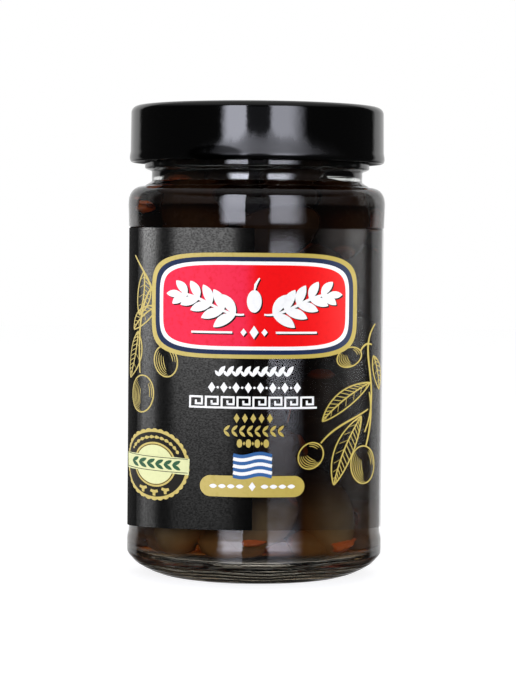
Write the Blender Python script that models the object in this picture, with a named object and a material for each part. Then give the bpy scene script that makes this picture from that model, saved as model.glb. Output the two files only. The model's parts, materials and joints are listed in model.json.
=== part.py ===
"""A jar of olives: a clear glass jar with a twist-off lid, a wrap-round label and a heap of olives.

Metres, +Z up. The origin is the middle of the jar's foot, and the front faces -Y.
"""

import math

import bmesh
import bpy
import numpy as np
from mathutils import Matrix, Vector

MM = 0.001

# Every turned piece has its corners at the same angles, so that the thin gaps stay even.
ROUND_STEPS = 56
STEP_ANGLE = 2 * math.pi / ROUND_STEPS

# The outside of the glass.
FOOT_INNER_R, FOOT_OUTER_R = 19.6 * MM, 22.4 * MM
PUSH_UP = 1.3 * MM
HEEL_R, HEEL_HEIGHT, HEEL_FULLNESS = 34.45 * MM, 6.74 * MM, 1.23
HEEL_STEPS = 6
PANEL_R, PANEL_LOW, PANEL_HIGH = 34.0 * MM, 12.4 * MM, 93.2 * MM
PANEL_STEP, TOP_STEP = 2.6 * MM, 1.0 * MM
ABOVE_LABEL_R = 34.5 * MM
SHOULDER_R, SHOULDER_START, SHOULDER_TOP = 34.68 * MM, 99.8 * MM, 104.8 * MM
SHOULDER_WIDTH, SHOULDER_FULLNESS = 4.4 * MM, 0.8
SHOULDER_STEPS = 5
NECK_R, NECK_LOW, NECK_HIGH = 28.45 * MM, 106.3 * MM, 108.7 * MM
NECK_FILLET = 0.5 * MM
BEAD_R, BEAD_LOW, BEAD_HIGH = 30.35 * MM, 109.8 * MM, 111.8 * MM
FINISH_R = 30.6 * MM
MOUTH_Z, LIP_RADIUS = 124.8 * MM, 0.9 * MM

# The inside of the glass.
WALL = 2.3 * MM
BORE_R = PANEL_R - WALL
FLOOR_Z, FLOOR_CORNER = 6.0 * MM, 3.4 * MM
BORE_TOP, BORE_CORNER_WIDTH, BORE_CORNER_HEIGHT = 98.0 * MM, 3.4 * MM, 4.6 * MM
NECK_BORE_R, NECK_BORE_LOW = 26.2 * MM, 105.6 * MM
BORE_FLARE = 0.6 * MM
LIP_FLARE, LIP_WIDTH, LIP_DEPTH = 0.3 * MM, 1.2 * MM, 4.0 * MM

# The lid.
LID_TOP, LID_LOW = 126.4 * MM, 111.26 * MM
LID_R, LID_CURL_R = 34.1 * MM, 34.45 * MM
LID_CORNER = 1.9 * MM
LID_PANEL_R, LID_PANEL_DROP, LID_PANEL_EDGE = 27.5 * MM, 0.5 * MM, 1.4 * MM
LID_BORE_R, LID_CEILING, LID_BORE_CORNER = 33.4 * MM, 125.1 * MM, 1.0 * MM
LID_FLARE = 0.12 * MM
CURL_HEIGHT, CURL_EDGE, CURL_LIP = 3.2 * MM, 0.55 * MM, 0.3 * MM

# The label lies in the panel's recess. Its lower edge arches up at the front, and its ends leave a
# strip of bare glass at the back.
LABEL_R, LABEL_THICK = 34.45 * MM, 0.15 * MM
LABEL_TOP, LABEL_LOW_BACK, LABEL_ARCH = 93.5 * MM, 13.1 * MM, 2.3 * MM
LABEL_OPEN_STEPS = 2

# The olives: an uneven layer against the glass round a plain core.
OLIVE_SEED = 11
OLIVE_HALF_LENGTH, OLIVE_HALF_WIDTH = 12.3 * MM, 7.7 * MM
OLIVE_SIZE_SPREAD = 0.07
OLIVE_RINGS = ((15.0, 8), (30.0, 7), (45.0, 8), (60.0, 7), (75.0, 8), (89.5, 7))
RING_R, RING_SCATTER = 23.0 * MM, 2.5 * MM
FLOOR_OLIVES, FLOOR_RING_R, FLOOR_OLIVE_Z = 4, 9.5 * MM, 14.0 * MM
NECK_OLIVES, NECK_RING_R, NECK_OLIVE_Z = 5, 14.5 * MM, 101.5 * MM
OLIVE_CLEARANCE = 0.35 * MM
OLIVE_SIDES, OLIVE_BANDS = 9, 6
CORE_R, CORE_LOW, CORE_HIGH = 22.5 * MM, 9.0 * MM, 101.0 * MM
CORE_CORNER, CORE_SIDES = 6.0 * MM, 24

# How the olives settle. Each counts as three balls in a row: the end ones lie at a share of its half
# length, and are narrower by END_BALL.
SETTLE_ROUNDS, DRAW_IN_ROUNDS = 260, 4
BALL_SPACING, END_BALL = 0.5, 0.8
BALL_TILTS = (0.0, 0.6, 1.1)
PUSH_SHARE = 0.4
DRIFT, DRIFT_ROUNDS = 0.06 * MM, 182
WALL_LAYER_R = 16.0 * MM
HEAP_FLOOR_Z = 6.0 * MM
HEAP_CORNER_TOP, HEAP_CORNER_WIDTH, HEAP_CORNER_HEIGHT = 10.5 * MM, 9.0 * MM, 5.2 * MM


def clear_scene():
    for obj in list(bpy.data.objects):
        bpy.data.objects.remove(obj, do_unlink=True)


def material(name, colour, roughness, metallic=0.0, transmission=0.0, alpha=1.0):
    made = bpy.data.materials.new(name)
    made.use_nodes = True
    shader = made.node_tree.nodes["Principled BSDF"]
    shader.inputs["Base Color"].default_value = (*colour, 1.0)
    shader.inputs["Roughness"].default_value = roughness
    shader.inputs["Metallic"].default_value = metallic
    shader.inputs["Transmission Weight"].default_value = transmission
    shader.inputs["Alpha"].default_value = alpha
    made.diffuse_color = (*colour, alpha)
    return made


def corner(start, across, up, steps, fullness=1.0):
    """Points of a rounded corner that leaves `start` upright and ends level.

    The corner spans `across` in radius and `up` in height. A fullness of 1 is an ellipse, a smaller
    one is squarer and a larger one is flatter.
    """
    points = []
    for step in range(steps + 1):
        turn = 0.5 * math.pi * step / steps
        reach = 1.0 - math.cos(turn) ** fullness if step < steps else 1.0
        rise = math.sin(turn) ** fullness
        points.append((start[0] + across * reach, start[1] + up * rise))
    return points


def add_object(name, bm, finish):
    mesh = bpy.data.meshes.new(name)
    bm.to_mesh(mesh)
    bm.free()
    obj = bpy.data.objects.new(name, mesh)
    obj.data.materials.append(finish)
    bpy.context.scene.collection.objects.link(obj)
    return obj


def smooth(obj, sharp_degrees=38.0):
    obj.data.shade_smooth()
    obj.data.set_sharp_from_angle(angle=math.radians(sharp_degrees))


def turned(name, outline, finish, steps=ROUND_STEPS):
    """One closed body, turned about Z from an outline that starts and ends on the axis."""
    bm = bmesh.new()
    points = [bm.verts.new((radius, 0.0, height)) for radius, height in outline]
    edges = [bm.edges.new(pair) for pair in zip(points, points[1:])]
    bmesh.ops.spin(
        bm,
        geom=points + edges,
        cent=(0.0, 0.0, 0.0),
        axis=(0.0, 0.0, 1.0),
        angle=2 * math.pi,
        steps=steps,
        use_merge=True,
    )
    bmesh.ops.remove_doubles(bm, verts=bm.verts, dist=1e-6)
    bmesh.ops.recalc_face_normals(bm, faces=bm.faces)
    return add_object(name, bm, finish)


def glass_outside():
    """The jar's outer outline, from the middle of its base up to the lip."""
    outline = [
        (0.0, PUSH_UP),
        (0.5 * FOOT_INNER_R, 0.82 * PUSH_UP),
        (0.85 * FOOT_INNER_R, 0.36 * PUSH_UP),
        (FOOT_INNER_R, 0.0),
    ]
    heel = corner((HEEL_R, HEEL_HEIGHT), FOOT_OUTER_R - HEEL_R, -HEEL_HEIGHT, HEEL_STEPS, HEEL_FULLNESS)
    outline += reversed(heel)
    outline += [
        (HEEL_R, PANEL_LOW - PANEL_STEP),
        (PANEL_R, PANEL_LOW),
        (PANEL_R, PANEL_HIGH),
        (ABOVE_LABEL_R, PANEL_HIGH + TOP_STEP),
    ]
    outline += corner(
        (SHOULDER_R, SHOULDER_START),
        -SHOULDER_WIDTH,
        SHOULDER_TOP - SHOULDER_START,
        SHOULDER_STEPS,
        SHOULDER_FULLNESS,
    )
    outline += [
        (NECK_R + NECK_FILLET, SHOULDER_TOP + 0.6 * NECK_FILLET),
        (NECK_R, NECK_LOW),
        (NECK_R, NECK_HIGH),
        (BEAD_R, BEAD_LOW),
        (BEAD_R, BEAD_HIGH),
    ]
    outline += corner((FINISH_R, MOUTH_Z - LIP_RADIUS), -LIP_RADIUS, LIP_RADIUS, 2)
    return outline


def glass_inside():
    """The jar's inner outline, from the lip down to the middle of its floor."""
    outline = [
        (NECK_BORE_R + LIP_WIDTH, MOUTH_Z),
        (NECK_BORE_R + LIP_FLARE, MOUTH_Z - LIP_RADIUS),
        (NECK_BORE_R, MOUTH_Z - LIP_DEPTH),
        (NECK_BORE_R, NECK_BORE_LOW),
    ]
    bore_corner = corner((BORE_R, BORE_TOP), -BORE_CORNER_WIDTH, BORE_CORNER_HEIGHT, 4)
    outline += [(NECK_BORE_R + BORE_FLARE, 0.5 * (NECK_BORE_LOW + bore_corner[-1][1]))]
    outline += reversed(bore_corner)
    outline += corner((BORE_R, FLOOR_Z + FLOOR_CORNER), -FLOOR_CORNER, -FLOOR_CORNER, 5)
    outline += [(0.0, FLOOR_Z)]
    return outline


def make_jar(finish):
    jar = turned("jar", glass_outside() + glass_inside(), finish)
    smooth(jar)


def make_lid(finish):
    """A pressed cap with a curled lower edge, hollow over the jar's mouth."""
    side_top = LID_TOP - LID_CORNER
    outline = [
        (0.0, LID_TOP - LID_PANEL_DROP),
        (LID_PANEL_R, LID_TOP - LID_PANEL_DROP),
        (LID_PANEL_R + LID_PANEL_EDGE, LID_TOP),
    ]
    outline += reversed(corner((LID_R, side_top), -LID_CORNER, LID_CORNER, 4))
    outline += [(LID_R + LID_FLARE, LID_LOW + CURL_HEIGHT)]
    edge_r = LID_BORE_R + CURL_EDGE
    outline += corner((LID_CURL_R, LID_LOW + 0.4 * CURL_HEIGHT), edge_r - LID_CURL_R, -0.4 * CURL_HEIGHT, 4)
    outline += [
        (LID_BORE_R, LID_LOW + CURL_LIP),
        (LID_BORE_R, LID_CEILING - LID_BORE_CORNER),
        (LID_BORE_R - LID_BORE_CORNER, LID_CEILING),
        (0.0, LID_CEILING),
    ]
    lid = turned("lid", outline, finish)
    smooth(lid)


def label_low_edge(x, y):
    """Height of the label's lower edge: arched over the front half and level round the back."""
    return LABEL_LOW_BACK + LABEL_ARCH * max(0.0, -y / math.hypot(x, y))


def make_label(finish):
    """A thin film bent round the jar, whose two ends face each other across a gap at the back."""
    bm = bmesh.new()
    first_angle = 0.5 * math.pi + 0.5 * LABEL_OPEN_STEPS * STEP_ANGLE
    turn = Matrix.Rotation(first_angle, 4, "Z")
    ends = [bm.verts.new(turn @ Vector((LABEL_R, 0.0, z))) for z in (LABEL_LOW_BACK, LABEL_TOP)]
    edge = bm.edges.new(ends)
    steps = ROUND_STEPS - LABEL_OPEN_STEPS
    bmesh.ops.spin(
        bm,
        geom=ends + [edge],
        cent=(0.0, 0.0, 0.0),
        axis=(0.0, 0.0, 1.0),
        angle=steps * STEP_ANGLE,
        steps=steps,
        use_merge=False,
    )
    for vert in bm.verts:
        if vert.co.z < 0.5 * LABEL_TOP:
            vert.co.z = label_low_edge(vert.co.x, vert.co.y)
    bm.normal_update()
    first = bm.faces[:][0]
    if first.normal.xy.dot(first.calc_center_median().xy) < 0:
        bmesh.ops.reverse_faces(bm, faces=bm.faces)
    label = add_object("label", bm, finish)
    wall = label.modifiers.new("film", "SOLIDIFY")
    wall.thickness = LABEL_THICK
    wall.offset = -1.0
    smooth(label)


def bore_radius(height):
    """The radius that the heap may fill at each height. It is well rounded at the floor."""
    low = np.clip((HEAP_CORNER_TOP - height) / HEAP_CORNER_HEIGHT, 0.0, 1.0)
    high = np.clip((height - BORE_TOP) / BORE_CORNER_HEIGHT, 0.0, 1.0)
    radius = BORE_R - HEAP_CORNER_WIDTH * (1.0 - np.sqrt(1.0 - low**2))
    radius -= BORE_CORNER_WIDTH * (1.0 - np.sqrt(1.0 - high**2))
    return np.where(height > BORE_TOP + BORE_CORNER_HEIGHT, NECK_BORE_R, radius)


def first_places(rng):
    """Loose starting places for the olives: rings against the wall, a few on the floor and in the neck."""
    places = []
    for ring, (height, count) in enumerate(OLIVE_RINGS):
        for index in range(count):
            angle = 2 * math.pi * (index + 0.5 * (ring % 2) + 0.25 * rng.uniform(-1, 1)) / count
            places.append((RING_R, angle, height * MM + RING_SCATTER * rng.uniform(-1, 1)))
    for index in range(FLOOR_OLIVES):
        places.append((FLOOR_RING_R, 2 * math.pi * index / FLOOR_OLIVES, FLOOR_OLIVE_Z))
    for index in range(NECK_OLIVES):
        places.append((NECK_RING_R, 2 * math.pi * (index + 0.3) / NECK_OLIVES, NECK_OLIVE_Z))
    places = np.array(places)
    centres = np.stack(
        [places[:, 0] * np.cos(places[:, 1]), places[:, 0] * np.sin(places[:, 1]), places[:, 2]], axis=1
    )
    lean = rng.uniform(-0.45 * math.pi, 0.45 * math.pi, len(places))
    inward = rng.uniform(-0.35, 0.35, len(places))
    axes = np.stack(
        [
            -np.sin(places[:, 1]) * np.cos(lean) + inward * np.cos(places[:, 1]),
            np.cos(places[:, 1]) * np.cos(lean) + inward * np.sin(places[:, 1]),
            np.sin(lean),
        ],
        axis=1,
    )
    return centres, axes / np.linalg.norm(axes, axis=1, keepdims=True)


def settle(centres, axes, sizes):
    """Pushes the olives apart and out against the glass. Each is treated as three balls in a row."""
    ball_place = BALL_SPACING * np.array([-1.0, 0.0, 1.0]) * OLIVE_HALF_LENGTH
    ball_radius = np.array([END_BALL, 1.0, END_BALL]) * OLIVE_HALF_WIDTH
    count = len(centres)
    owner = np.repeat(np.arange(count), 3)
    radius = (sizes[:, None] * ball_radius).reshape(-1)
    lever = (sizes[:, None] * ball_place).reshape(-1)
    apart = owner[:, None] != owner[None, :]
    touching = radius[:, None] + radius[None, :]
    for round_index in range(SETTLE_ROUNDS):
        drift = DRIFT if round_index < DRIFT_ROUNDS else 0.0
        balls = centres[owner] + lever[:, None] * axes[owner]
        offset = balls[:, None, :] - balls[None, :, :]
        distance = np.linalg.norm(offset, axis=2) + 1e-9
        depth = np.where(apart, np.maximum(touching - distance, 0.0), 0.0)
        push = PUSH_SHARE * np.sum(offset / distance[:, :, None] * depth[:, :, None], axis=1)
        reach = np.hypot(balls[:, 0], balls[:, 1]) + 1e-9
        outward = np.stack([balls[:, 0] / reach, balls[:, 1] / reach, np.zeros(len(balls))], axis=1)
        for tilt in BALL_TILTS:
            limit = bore_radius(balls[:, 2] + radius * math.sin(tilt)) - OLIVE_CLEARANCE
            over = np.maximum(reach + radius * math.cos(tilt) - limit, 0.0)
            push -= outward * over[:, None]
        push[:, 2] += np.maximum(HEAP_FLOOR_Z + OLIVE_CLEARANCE + radius - balls[:, 2], 0.0)
        for index in range(3):
            centres = centres + push[index::3] / 2.0
            axes = axes + lever[index::3, None] * push[index::3] / (2.0 * ball_place[2] ** 2)
        axes = axes / np.linalg.norm(axes, axis=1, keepdims=True)
        wall_layer = np.hypot(centres[:, 0], centres[:, 1]) > WALL_LAYER_R
        spread = np.hypot(centres[:, 0], centres[:, 1])[:, None]
        centres[:, :2] += np.where(wall_layer[:, None], drift * centres[:, :2] / spread, 0.0)
    return centres, axes


def draw_in(centres, axes, sizes):
    """Draws each olive towards the jar's axis until its whole skin clears the glass."""
    across = np.cross(axes, (0.0, 0.0, 1.0)) + 1e-9
    across = across / np.linalg.norm(across, axis=1, keepdims=True)
    along, round_it = np.meshgrid(np.linspace(-1.0, 1.0, 11), np.linspace(0, 2 * math.pi, 16))
    along, round_it = along.reshape(-1), round_it.reshape(-1)
    girth = OLIVE_HALF_WIDTH * np.sqrt(1.0 - along**2)
    skin = sizes[:, None, None] * (
        axes[:, None, :] * (OLIVE_HALF_LENGTH * along)[None, :, None]
        + across[:, None, :] * (girth * np.cos(round_it))[None, :, None]
        + np.cross(axes, across)[:, None, :] * (girth * np.sin(round_it))[None, :, None]
    )
    for _ in range(DRAW_IN_ROUNDS):
        points = centres[:, None, :] + skin
        limit = bore_radius(points[:, :, 2]) - OLIVE_CLEARANCE
        over = np.max(np.hypot(points[:, :, 0], points[:, :, 1]) - limit, axis=1).clip(0.0)
        reach = np.hypot(centres[:, 0], centres[:, 1]) + 1e-9
        centres[:, :2] *= (1.0 - over / reach)[:, None]
        centres[:, 2] += (HEAP_FLOOR_Z + OLIVE_CLEARANCE - points[:, :, 2].min(axis=1)).clip(0.0)
    return np.round(centres, 6), np.round(axes, 4)


def olive_places():
    """(centre, long axis, size) of each olive, the same on every run."""
    rng = np.random.default_rng(OLIVE_SEED)
    centres, axes = first_places(rng)
    sizes = np.round(1.0 + OLIVE_SIZE_SPREAD * rng.uniform(-1.0, 1.0, len(centres)), 3)
    centres, axes = draw_in(*settle(centres, axes, sizes), sizes)
    return list(zip(centres, axes, sizes))


def make_core(finish):
    """The plain middle of the heap, which the olives are fused to."""
    outline = [(0.0, CORE_LOW)]
    outline += reversed(corner((CORE_R, CORE_LOW + CORE_CORNER), -CORE_CORNER, -CORE_CORNER, 2))
    outline += corner((CORE_R, CORE_HIGH - CORE_CORNER), -CORE_CORNER, CORE_CORNER, 2)
    outline += [(0.0, CORE_HIGH)]
    return turned("olives", outline, finish, CORE_SIDES)


def make_olive(index, centre, axis, size, finish):
    bm = bmesh.new()
    bmesh.ops.create_uvsphere(bm, u_segments=OLIVE_SIDES, v_segments=OLIVE_BANDS, radius=1.0)
    turn = Vector((0.0, 0.0, 1.0)).rotation_difference(Vector(axis)).to_matrix().to_4x4()
    shape = Matrix.Diagonal((OLIVE_HALF_WIDTH * size, OLIVE_HALF_WIDTH * size, OLIVE_HALF_LENGTH * size, 1.0))
    bmesh.ops.transform(bm, matrix=Matrix.Translation(Vector(centre)) @ turn @ shape, verts=bm.verts)
    return add_object(f"olive_{index}", bm, finish)


def make_olives(finish):
    """The heap: every olive fused to the core by one union."""
    heap = make_core(finish)
    pieces = bpy.data.collections.new("single olives")
    bpy.context.scene.collection.children.link(pieces)
    for index, (centre, axis, size) in enumerate(olive_places()):
        olive = make_olive(index, centre, axis, size, finish)
        bpy.context.scene.collection.objects.unlink(olive)
        pieces.objects.link(olive)
    union = heap.modifiers.new("fuse", "BOOLEAN")
    union.operation = "UNION"
    union.operand_type = "COLLECTION"
    union.collection = pieces
    union.solver = "EXACT"
    bpy.context.view_layer.update()
    graph = bpy.context.evaluated_depsgraph_get()
    fused = bpy.data.meshes.new_from_object(heap.evaluated_get(graph))
    heap.modifiers.clear()
    heap.data = fused
    fused.name = "olives"
    for olive in list(pieces.objects):
        bpy.data.objects.remove(olive, do_unlink=True)
    bpy.data.collections.remove(pieces)
    smooth(heap, 60.0)


def main():
    clear_scene()
    make_jar(material("clear glass", (0.93, 0.95, 0.93), 0.02, transmission=1.0, alpha=0.35))
    make_lid(material("black gloss lacquer", (0.012, 0.012, 0.013), 0.16))
    make_label(material("black satin film", (0.02, 0.02, 0.021), 0.42))
    make_olives(material("dark olive skin", (0.045, 0.018, 0.012), 0.22))


main()
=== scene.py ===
"""Jar of olives: clear glass, black twist-off lid, a film label that is half opaque, olives and brine.

Metres, +Z up, the label's front towards -Y. Run as a script: each operator makes one piece or one
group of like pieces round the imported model.
"""

import json
import math

import bmesh
import bpy
import numpy as np
from mathutils import Matrix, Vector, noise
from mathutils.geometry import interpolate_bezier

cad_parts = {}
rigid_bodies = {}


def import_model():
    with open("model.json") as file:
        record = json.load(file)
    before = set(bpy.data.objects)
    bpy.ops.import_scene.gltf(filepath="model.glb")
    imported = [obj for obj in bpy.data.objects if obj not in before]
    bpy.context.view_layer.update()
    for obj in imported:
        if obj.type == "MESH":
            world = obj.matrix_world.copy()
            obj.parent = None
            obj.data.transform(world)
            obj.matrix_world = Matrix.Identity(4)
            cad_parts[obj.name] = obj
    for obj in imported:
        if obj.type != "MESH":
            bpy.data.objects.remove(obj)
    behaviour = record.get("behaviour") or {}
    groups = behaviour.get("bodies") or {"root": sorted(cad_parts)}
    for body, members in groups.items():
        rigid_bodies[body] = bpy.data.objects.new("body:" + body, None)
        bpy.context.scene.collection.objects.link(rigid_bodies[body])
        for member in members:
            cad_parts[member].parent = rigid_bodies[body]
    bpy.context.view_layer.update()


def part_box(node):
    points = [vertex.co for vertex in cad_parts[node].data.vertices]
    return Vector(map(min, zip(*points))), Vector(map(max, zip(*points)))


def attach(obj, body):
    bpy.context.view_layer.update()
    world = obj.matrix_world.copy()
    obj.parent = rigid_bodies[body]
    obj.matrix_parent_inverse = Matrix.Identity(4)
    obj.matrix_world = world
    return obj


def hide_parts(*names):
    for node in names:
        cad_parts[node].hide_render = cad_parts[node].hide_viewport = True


bl_info = {
    "name": "Jar of olives",
    "version": (1, 0, 0),
    "blender": (4, 5, 0),
    "location": "3D View > Sidebar > Jar",
    "description": "Models and finishes a glass jar of olives",
    "category": "Object",
}

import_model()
MM = 0.001

JAR_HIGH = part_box("jar")[1]
LID_BOX_LOW, LID_BOX_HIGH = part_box("lid")
LABEL_BOX_LOW, LABEL_BOX_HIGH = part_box("label")

ROUND_STEPS = 168

# The outside of the glass, as radius and height.
FOOT_INNER_R, FOOT_OUTER_R = 19.6 * MM, 22.4 * MM
PUSH_UP = 1.3 * MM
HEEL_R, HEEL_HEIGHT, HEEL_FULLNESS = 34.45 * MM, 6.74 * MM, 1.23
HEEL_RIPPLES, HEEL_RIPPLE = 5, 0.07 * MM
PANEL_R, PANEL_LOW, PANEL_HIGH = 34.0 * MM, 12.4 * MM, 93.2 * MM
PANEL_STEP, TOP_STEP = 2.6 * MM, 1.0 * MM
ABOVE_LABEL_R = 34.5 * MM
SHOULDER_R, SHOULDER_START, SHOULDER_TOP = JAR_HIGH[0], 99.8 * MM, 104.8 * MM
SHOULDER_WIDTH, SHOULDER_FULLNESS = 4.4 * MM, 0.8
NECK_R, NECK_LOW, NECK_HIGH = 28.45 * MM, 106.3 * MM, 108.7 * MM
BEAD_R, BEAD_LOW, BEAD_HIGH, BEAD_STEP = 30.35 * MM, 109.8 * MM, 111.8 * MM, 0.8 * MM
FINISH_R = 30.6 * MM
MOUTH_Z, LIP_RADIUS = JAR_HIGH[2], 0.9 * MM

# The inside of the glass.
WALL = 2.3 * MM
BORE_R = PANEL_R - WALL
FLOOR_Z, FLOOR_CORNER = 6.0 * MM, 3.4 * MM
BORE_TOP, BORE_CORNER_WIDTH, BORE_CORNER_HEIGHT = 98.0 * MM, 3.4 * MM, 4.6 * MM
NECK_BORE_R, NECK_BORE_LOW = 26.2 * MM, 105.6 * MM
WALL_UNEVENNESS = 0.09 * MM

BRINE_LEVEL = 105.0 * MM
BRINE_REACH = 0.22 * MM
MENISCUS = 0.8 * MM

# The lid.
LID_TOP, LID_LOW = LID_BOX_HIGH[2], LID_BOX_LOW[2]
LID_R, LID_CURL_R = 34.1 * MM, 34.45 * MM
LID_CORNER, LID_FLARE = 1.9 * MM, 0.12 * MM
LID_PANEL_R, LID_PANEL_DROP = 27.5 * MM, 0.5 * MM
LID_BUTTON_R, LID_BUTTON_RISE = 12.5 * MM, 0.35 * MM
LID_BUTTON_SLOPE, LID_PANEL_SLOPE = 1.5 * MM, 1.4 * MM
LID_BORE_R, LID_CEILING = 33.4 * MM, 125.1 * MM
CURL_HEIGHT = 3.2 * MM

# The label film.
LABEL_R, LABEL_THICK = 34.45 * MM, 0.15 * MM
LABEL_TOP = LABEL_BOX_HIGH[2]
LABEL_LOW_BACK, LABEL_ARCH = LABEL_BOX_LOW[2], 2.3 * MM
LABEL_OPEN_ANGLE = math.radians(360.0 * 2 / 56)
FILM_SPLIT, FILM_STEP = math.radians(-0.8), math.radians(2.0)

# The print, drawn in millimetres. Each ink lies a step above the one below it. Beyond the front, the
# drawing is stretched less.
INK = 0.03 * MM
BEND_STEP = 1.0
FRONT_REACH = 0.86
LINE = 0.34
PLAQUE_CENTRE, PLAQUE_HALF, PLAQUE_POWER = (-0.4, 73.45), (26.9, 13.65), 5.0
PLAQUE_BANDS = (("gold", 0.0), ("navy", 1.05), ("white", 2.2), ("red", 3.15))
GARLAND_SHADOW = 0.32
LEAF_ROW, DIAMOND_ROW, KEY_ROW = 55.2, 52.3, 47.1
GOLD_DIAMOND_ROW, GOLD_LEAF_ROW, GOLD_BEAD_ROW = 44.4, 41.1, 37.9
FLAG_LEFT, FLAG_WIDTH, FLAG_TOP = -5.5, 10.0, 34.9
FLAG_STRIPES, FLAG_STRIPE, FLAG_OVERLAP, FLAG_STEPS = 7, 0.9, 0.03, 24
PILL_CENTRE, PILL_HALF = (-0.55, 26.75), (13.55, 2.75)
SEAL_CENTRE, SEAL_R, SEAL_RING_R, SEAL_LOBES = (-26.3, 31.3), 9.15, 7.2, 34

# The olives: the same settled layer as the model's heap.
OLIVE_SEED = 11
OLIVE_HALF_LENGTH, OLIVE_HALF_WIDTH = 12.3 * MM, 7.7 * MM
OLIVE_SIZE_SPREAD = 0.07
OLIVE_RINGS = ((15.0, 8), (30.0, 7), (45.0, 8), (60.0, 7), (75.0, 8), (89.5, 7))
RING_R, RING_SCATTER = 23.0 * MM, 2.5 * MM
FLOOR_OLIVES, FLOOR_RING_R, FLOOR_OLIVE_Z = 4, 9.5 * MM, 14.0 * MM
NECK_OLIVES, NECK_RING_R, NECK_OLIVE_Z = 5, 14.5 * MM, 101.5 * MM
OLIVE_CLEARANCE = 0.35 * MM
CORE_R, CORE_LOW, CORE_HIGH = 17.0 * MM, 12.0 * MM, 98.0 * MM

# How the olives settle. Each counts as three balls in a row: the end ones lie at a share of its half
# length, and are narrower by END_BALL.
SETTLE_ROUNDS, DRAW_IN_ROUNDS = 260, 4
BALL_SPACING, END_BALL = 0.5, 0.8
BALL_TILTS = (0.0, 0.6, 1.1)
PUSH_SHARE = 0.4
DRIFT, DRIFT_ROUNDS = 0.06 * MM, 182
WALL_LAYER_R = 16.0 * MM
HEAP_FLOOR_Z = 6.0 * MM
HEAP_CORNER_TOP, HEAP_CORNER_WIDTH, HEAP_CORNER_HEIGHT = 10.5 * MM, 9.0 * MM, 5.2 * MM

# Small broken pieces on the floor, and pieces of flesh against the glass: degrees from the front,
# height in millimetres and size as a share of an olive.
FLOOR_BITS = 15
FLOOR_BIT_R, FLOOR_BIT_Z, FLOOR_BIT_SIZES = 24.5 * MM, 10.6 * MM, (0.46, 0.56)
FLESH_BITS = (
    (-71, 99.0, 0.36),
    (51, 10.2, 0.44),
    (0, 11.6, 0.27),
    (150, 40.0, 0.4),
    (-140, 70.0, 0.35),
)
FLESH_FLATNESS, FLESH_LEAN, BIT_TINT = 0.5, 0.25, 0.9

# The hole that the pit left, as shares of an olive's half width and half length.
PIT_R, PIT_DEPTH = 0.30, 0.55

# Finishes. Pairs are where a change starts and ends.
GLASS_IOR, BRINE_IOR, LACQUER_IOR, WET_SKIN_IOR = 1.5, 1.34, 1.52, 1.12
HEEL_FINISH_TOP, HEEL_RING = 4.6 * MM, 1.0 * MM
# Painted shade at the heel: the glass there is darker and browner, in what it lets through and in what
# it reflects.
HEEL_SHADE_TINT, HEEL_SHADE_SHEEN = (0.62, 0.56, 0.43), (0.80, 0.76, 0.66)
LAMP_SHARE = (0.93, 0.93, 0.93, 1.0)
BLACK, WHITE = (0.0, 0.0, 0.0), (1.0, 1.0, 1.0)
# Heights over which the painted light on the olives near the floor fades out.
PAINTED_LOW_LIGHT_HEIGHTS = (9 * MM, 31 * MM)
FILM_EDGE = (30.8 * MM, 31.6 * MM)
FILM_GRAIN, FILM_GRAIN_STRETCH = 1700.0, (1.0, 1.0, 2.2)
# Painted glow near the lid's lower edge: a bell-shaped patch of rougher lacquer with a lighter colour.
# Its offset across, curve, fray and the heights where it fades.
PAINTED_GLOW_X, PAINTED_GLOW_CURVE, PAINTED_GLOW_FRAY = 2.6 * MM, 15.6, 3.4 * MM
PAINTED_GLOW_HIGH = (LID_LOW + 2.6 * MM, LID_LOW + 9.4 * MM)
PAINTED_GLOW_LOW = (LID_LOW + 0.6 * MM, LID_LOW + 2.0 * MM)
# Painted shade near the lid's lower edge: a patch that reflects almost nothing. Its centre and half
# sizes.
PAINTED_DARK_PATCH, PAINTED_DARK_PATCH_HALF = (-11.0 * MM, LID_LOW + 1.4 * MM), (7.6 * MM, 2.3 * MM)

# The floor that the jar stands on. Under the jar's foot its glow is darker, a painted shadow that fades
# over FLOOR_FADE each side of the foot's edge.
FLOOR_R, FLOOR_DROP, FLOOR_FADE = 2.2, 0.05 * MM, 2 * MM
FLOOR_PAINTED_SHADOW = (0.05, 0.045, 0.035)

# The photograph's frame and its camera.
FRAME_WIDTH, FRAME_HEIGHT = 516, 688
SENSOR = 36.0
FOCAL_PIXELS = 2525.0
CAMERA_DISTANCE = 684.7 * MM
EYE_HEIGHT = 87.84 * MM
CAMERA_PITCH = math.radians(2.132)
CAMERA_ROLL = math.radians(0.5)
AXIS_PIXEL_X = 255.6
METRES_PER_PIXEL = CAMERA_DISTANCE / FOCAL_PIXELS

# The lamps that the film mirrors fade downwards: heights in millimetres and shares of their brightness.
FILM_LAMP_STEPS = (
    ((95, 420), 1.0),
    ((40, 95), 0.70),
    ((0, 40), 0.42),
    ((-50, 0), 0.20),
    ((-180, -50), 0.05),
)

# The strips fade downwards between these shares of their height.
STRIP_FADE_SHARES = (0.10, 0.36)
STRIP_COLOUR = (0.97, 0.985, 1.12, 1.0)


# Sizes and colours that a user would change.


def colour(name, description, default, low=0.0):
    return bpy.props.FloatVectorProperty(
        name=name, description=description, default=default, subtype="COLOR", size=3, min=low, max=1.0
    )


def share(name, description, default):
    return bpy.props.FloatProperty(
        name=name, description=description, default=default, subtype="FACTOR", min=0.0, max=1.0
    )


def brightness(name, description, default):
    return bpy.props.FloatProperty(name=name, description=description, default=default, min=0.0)


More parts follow.
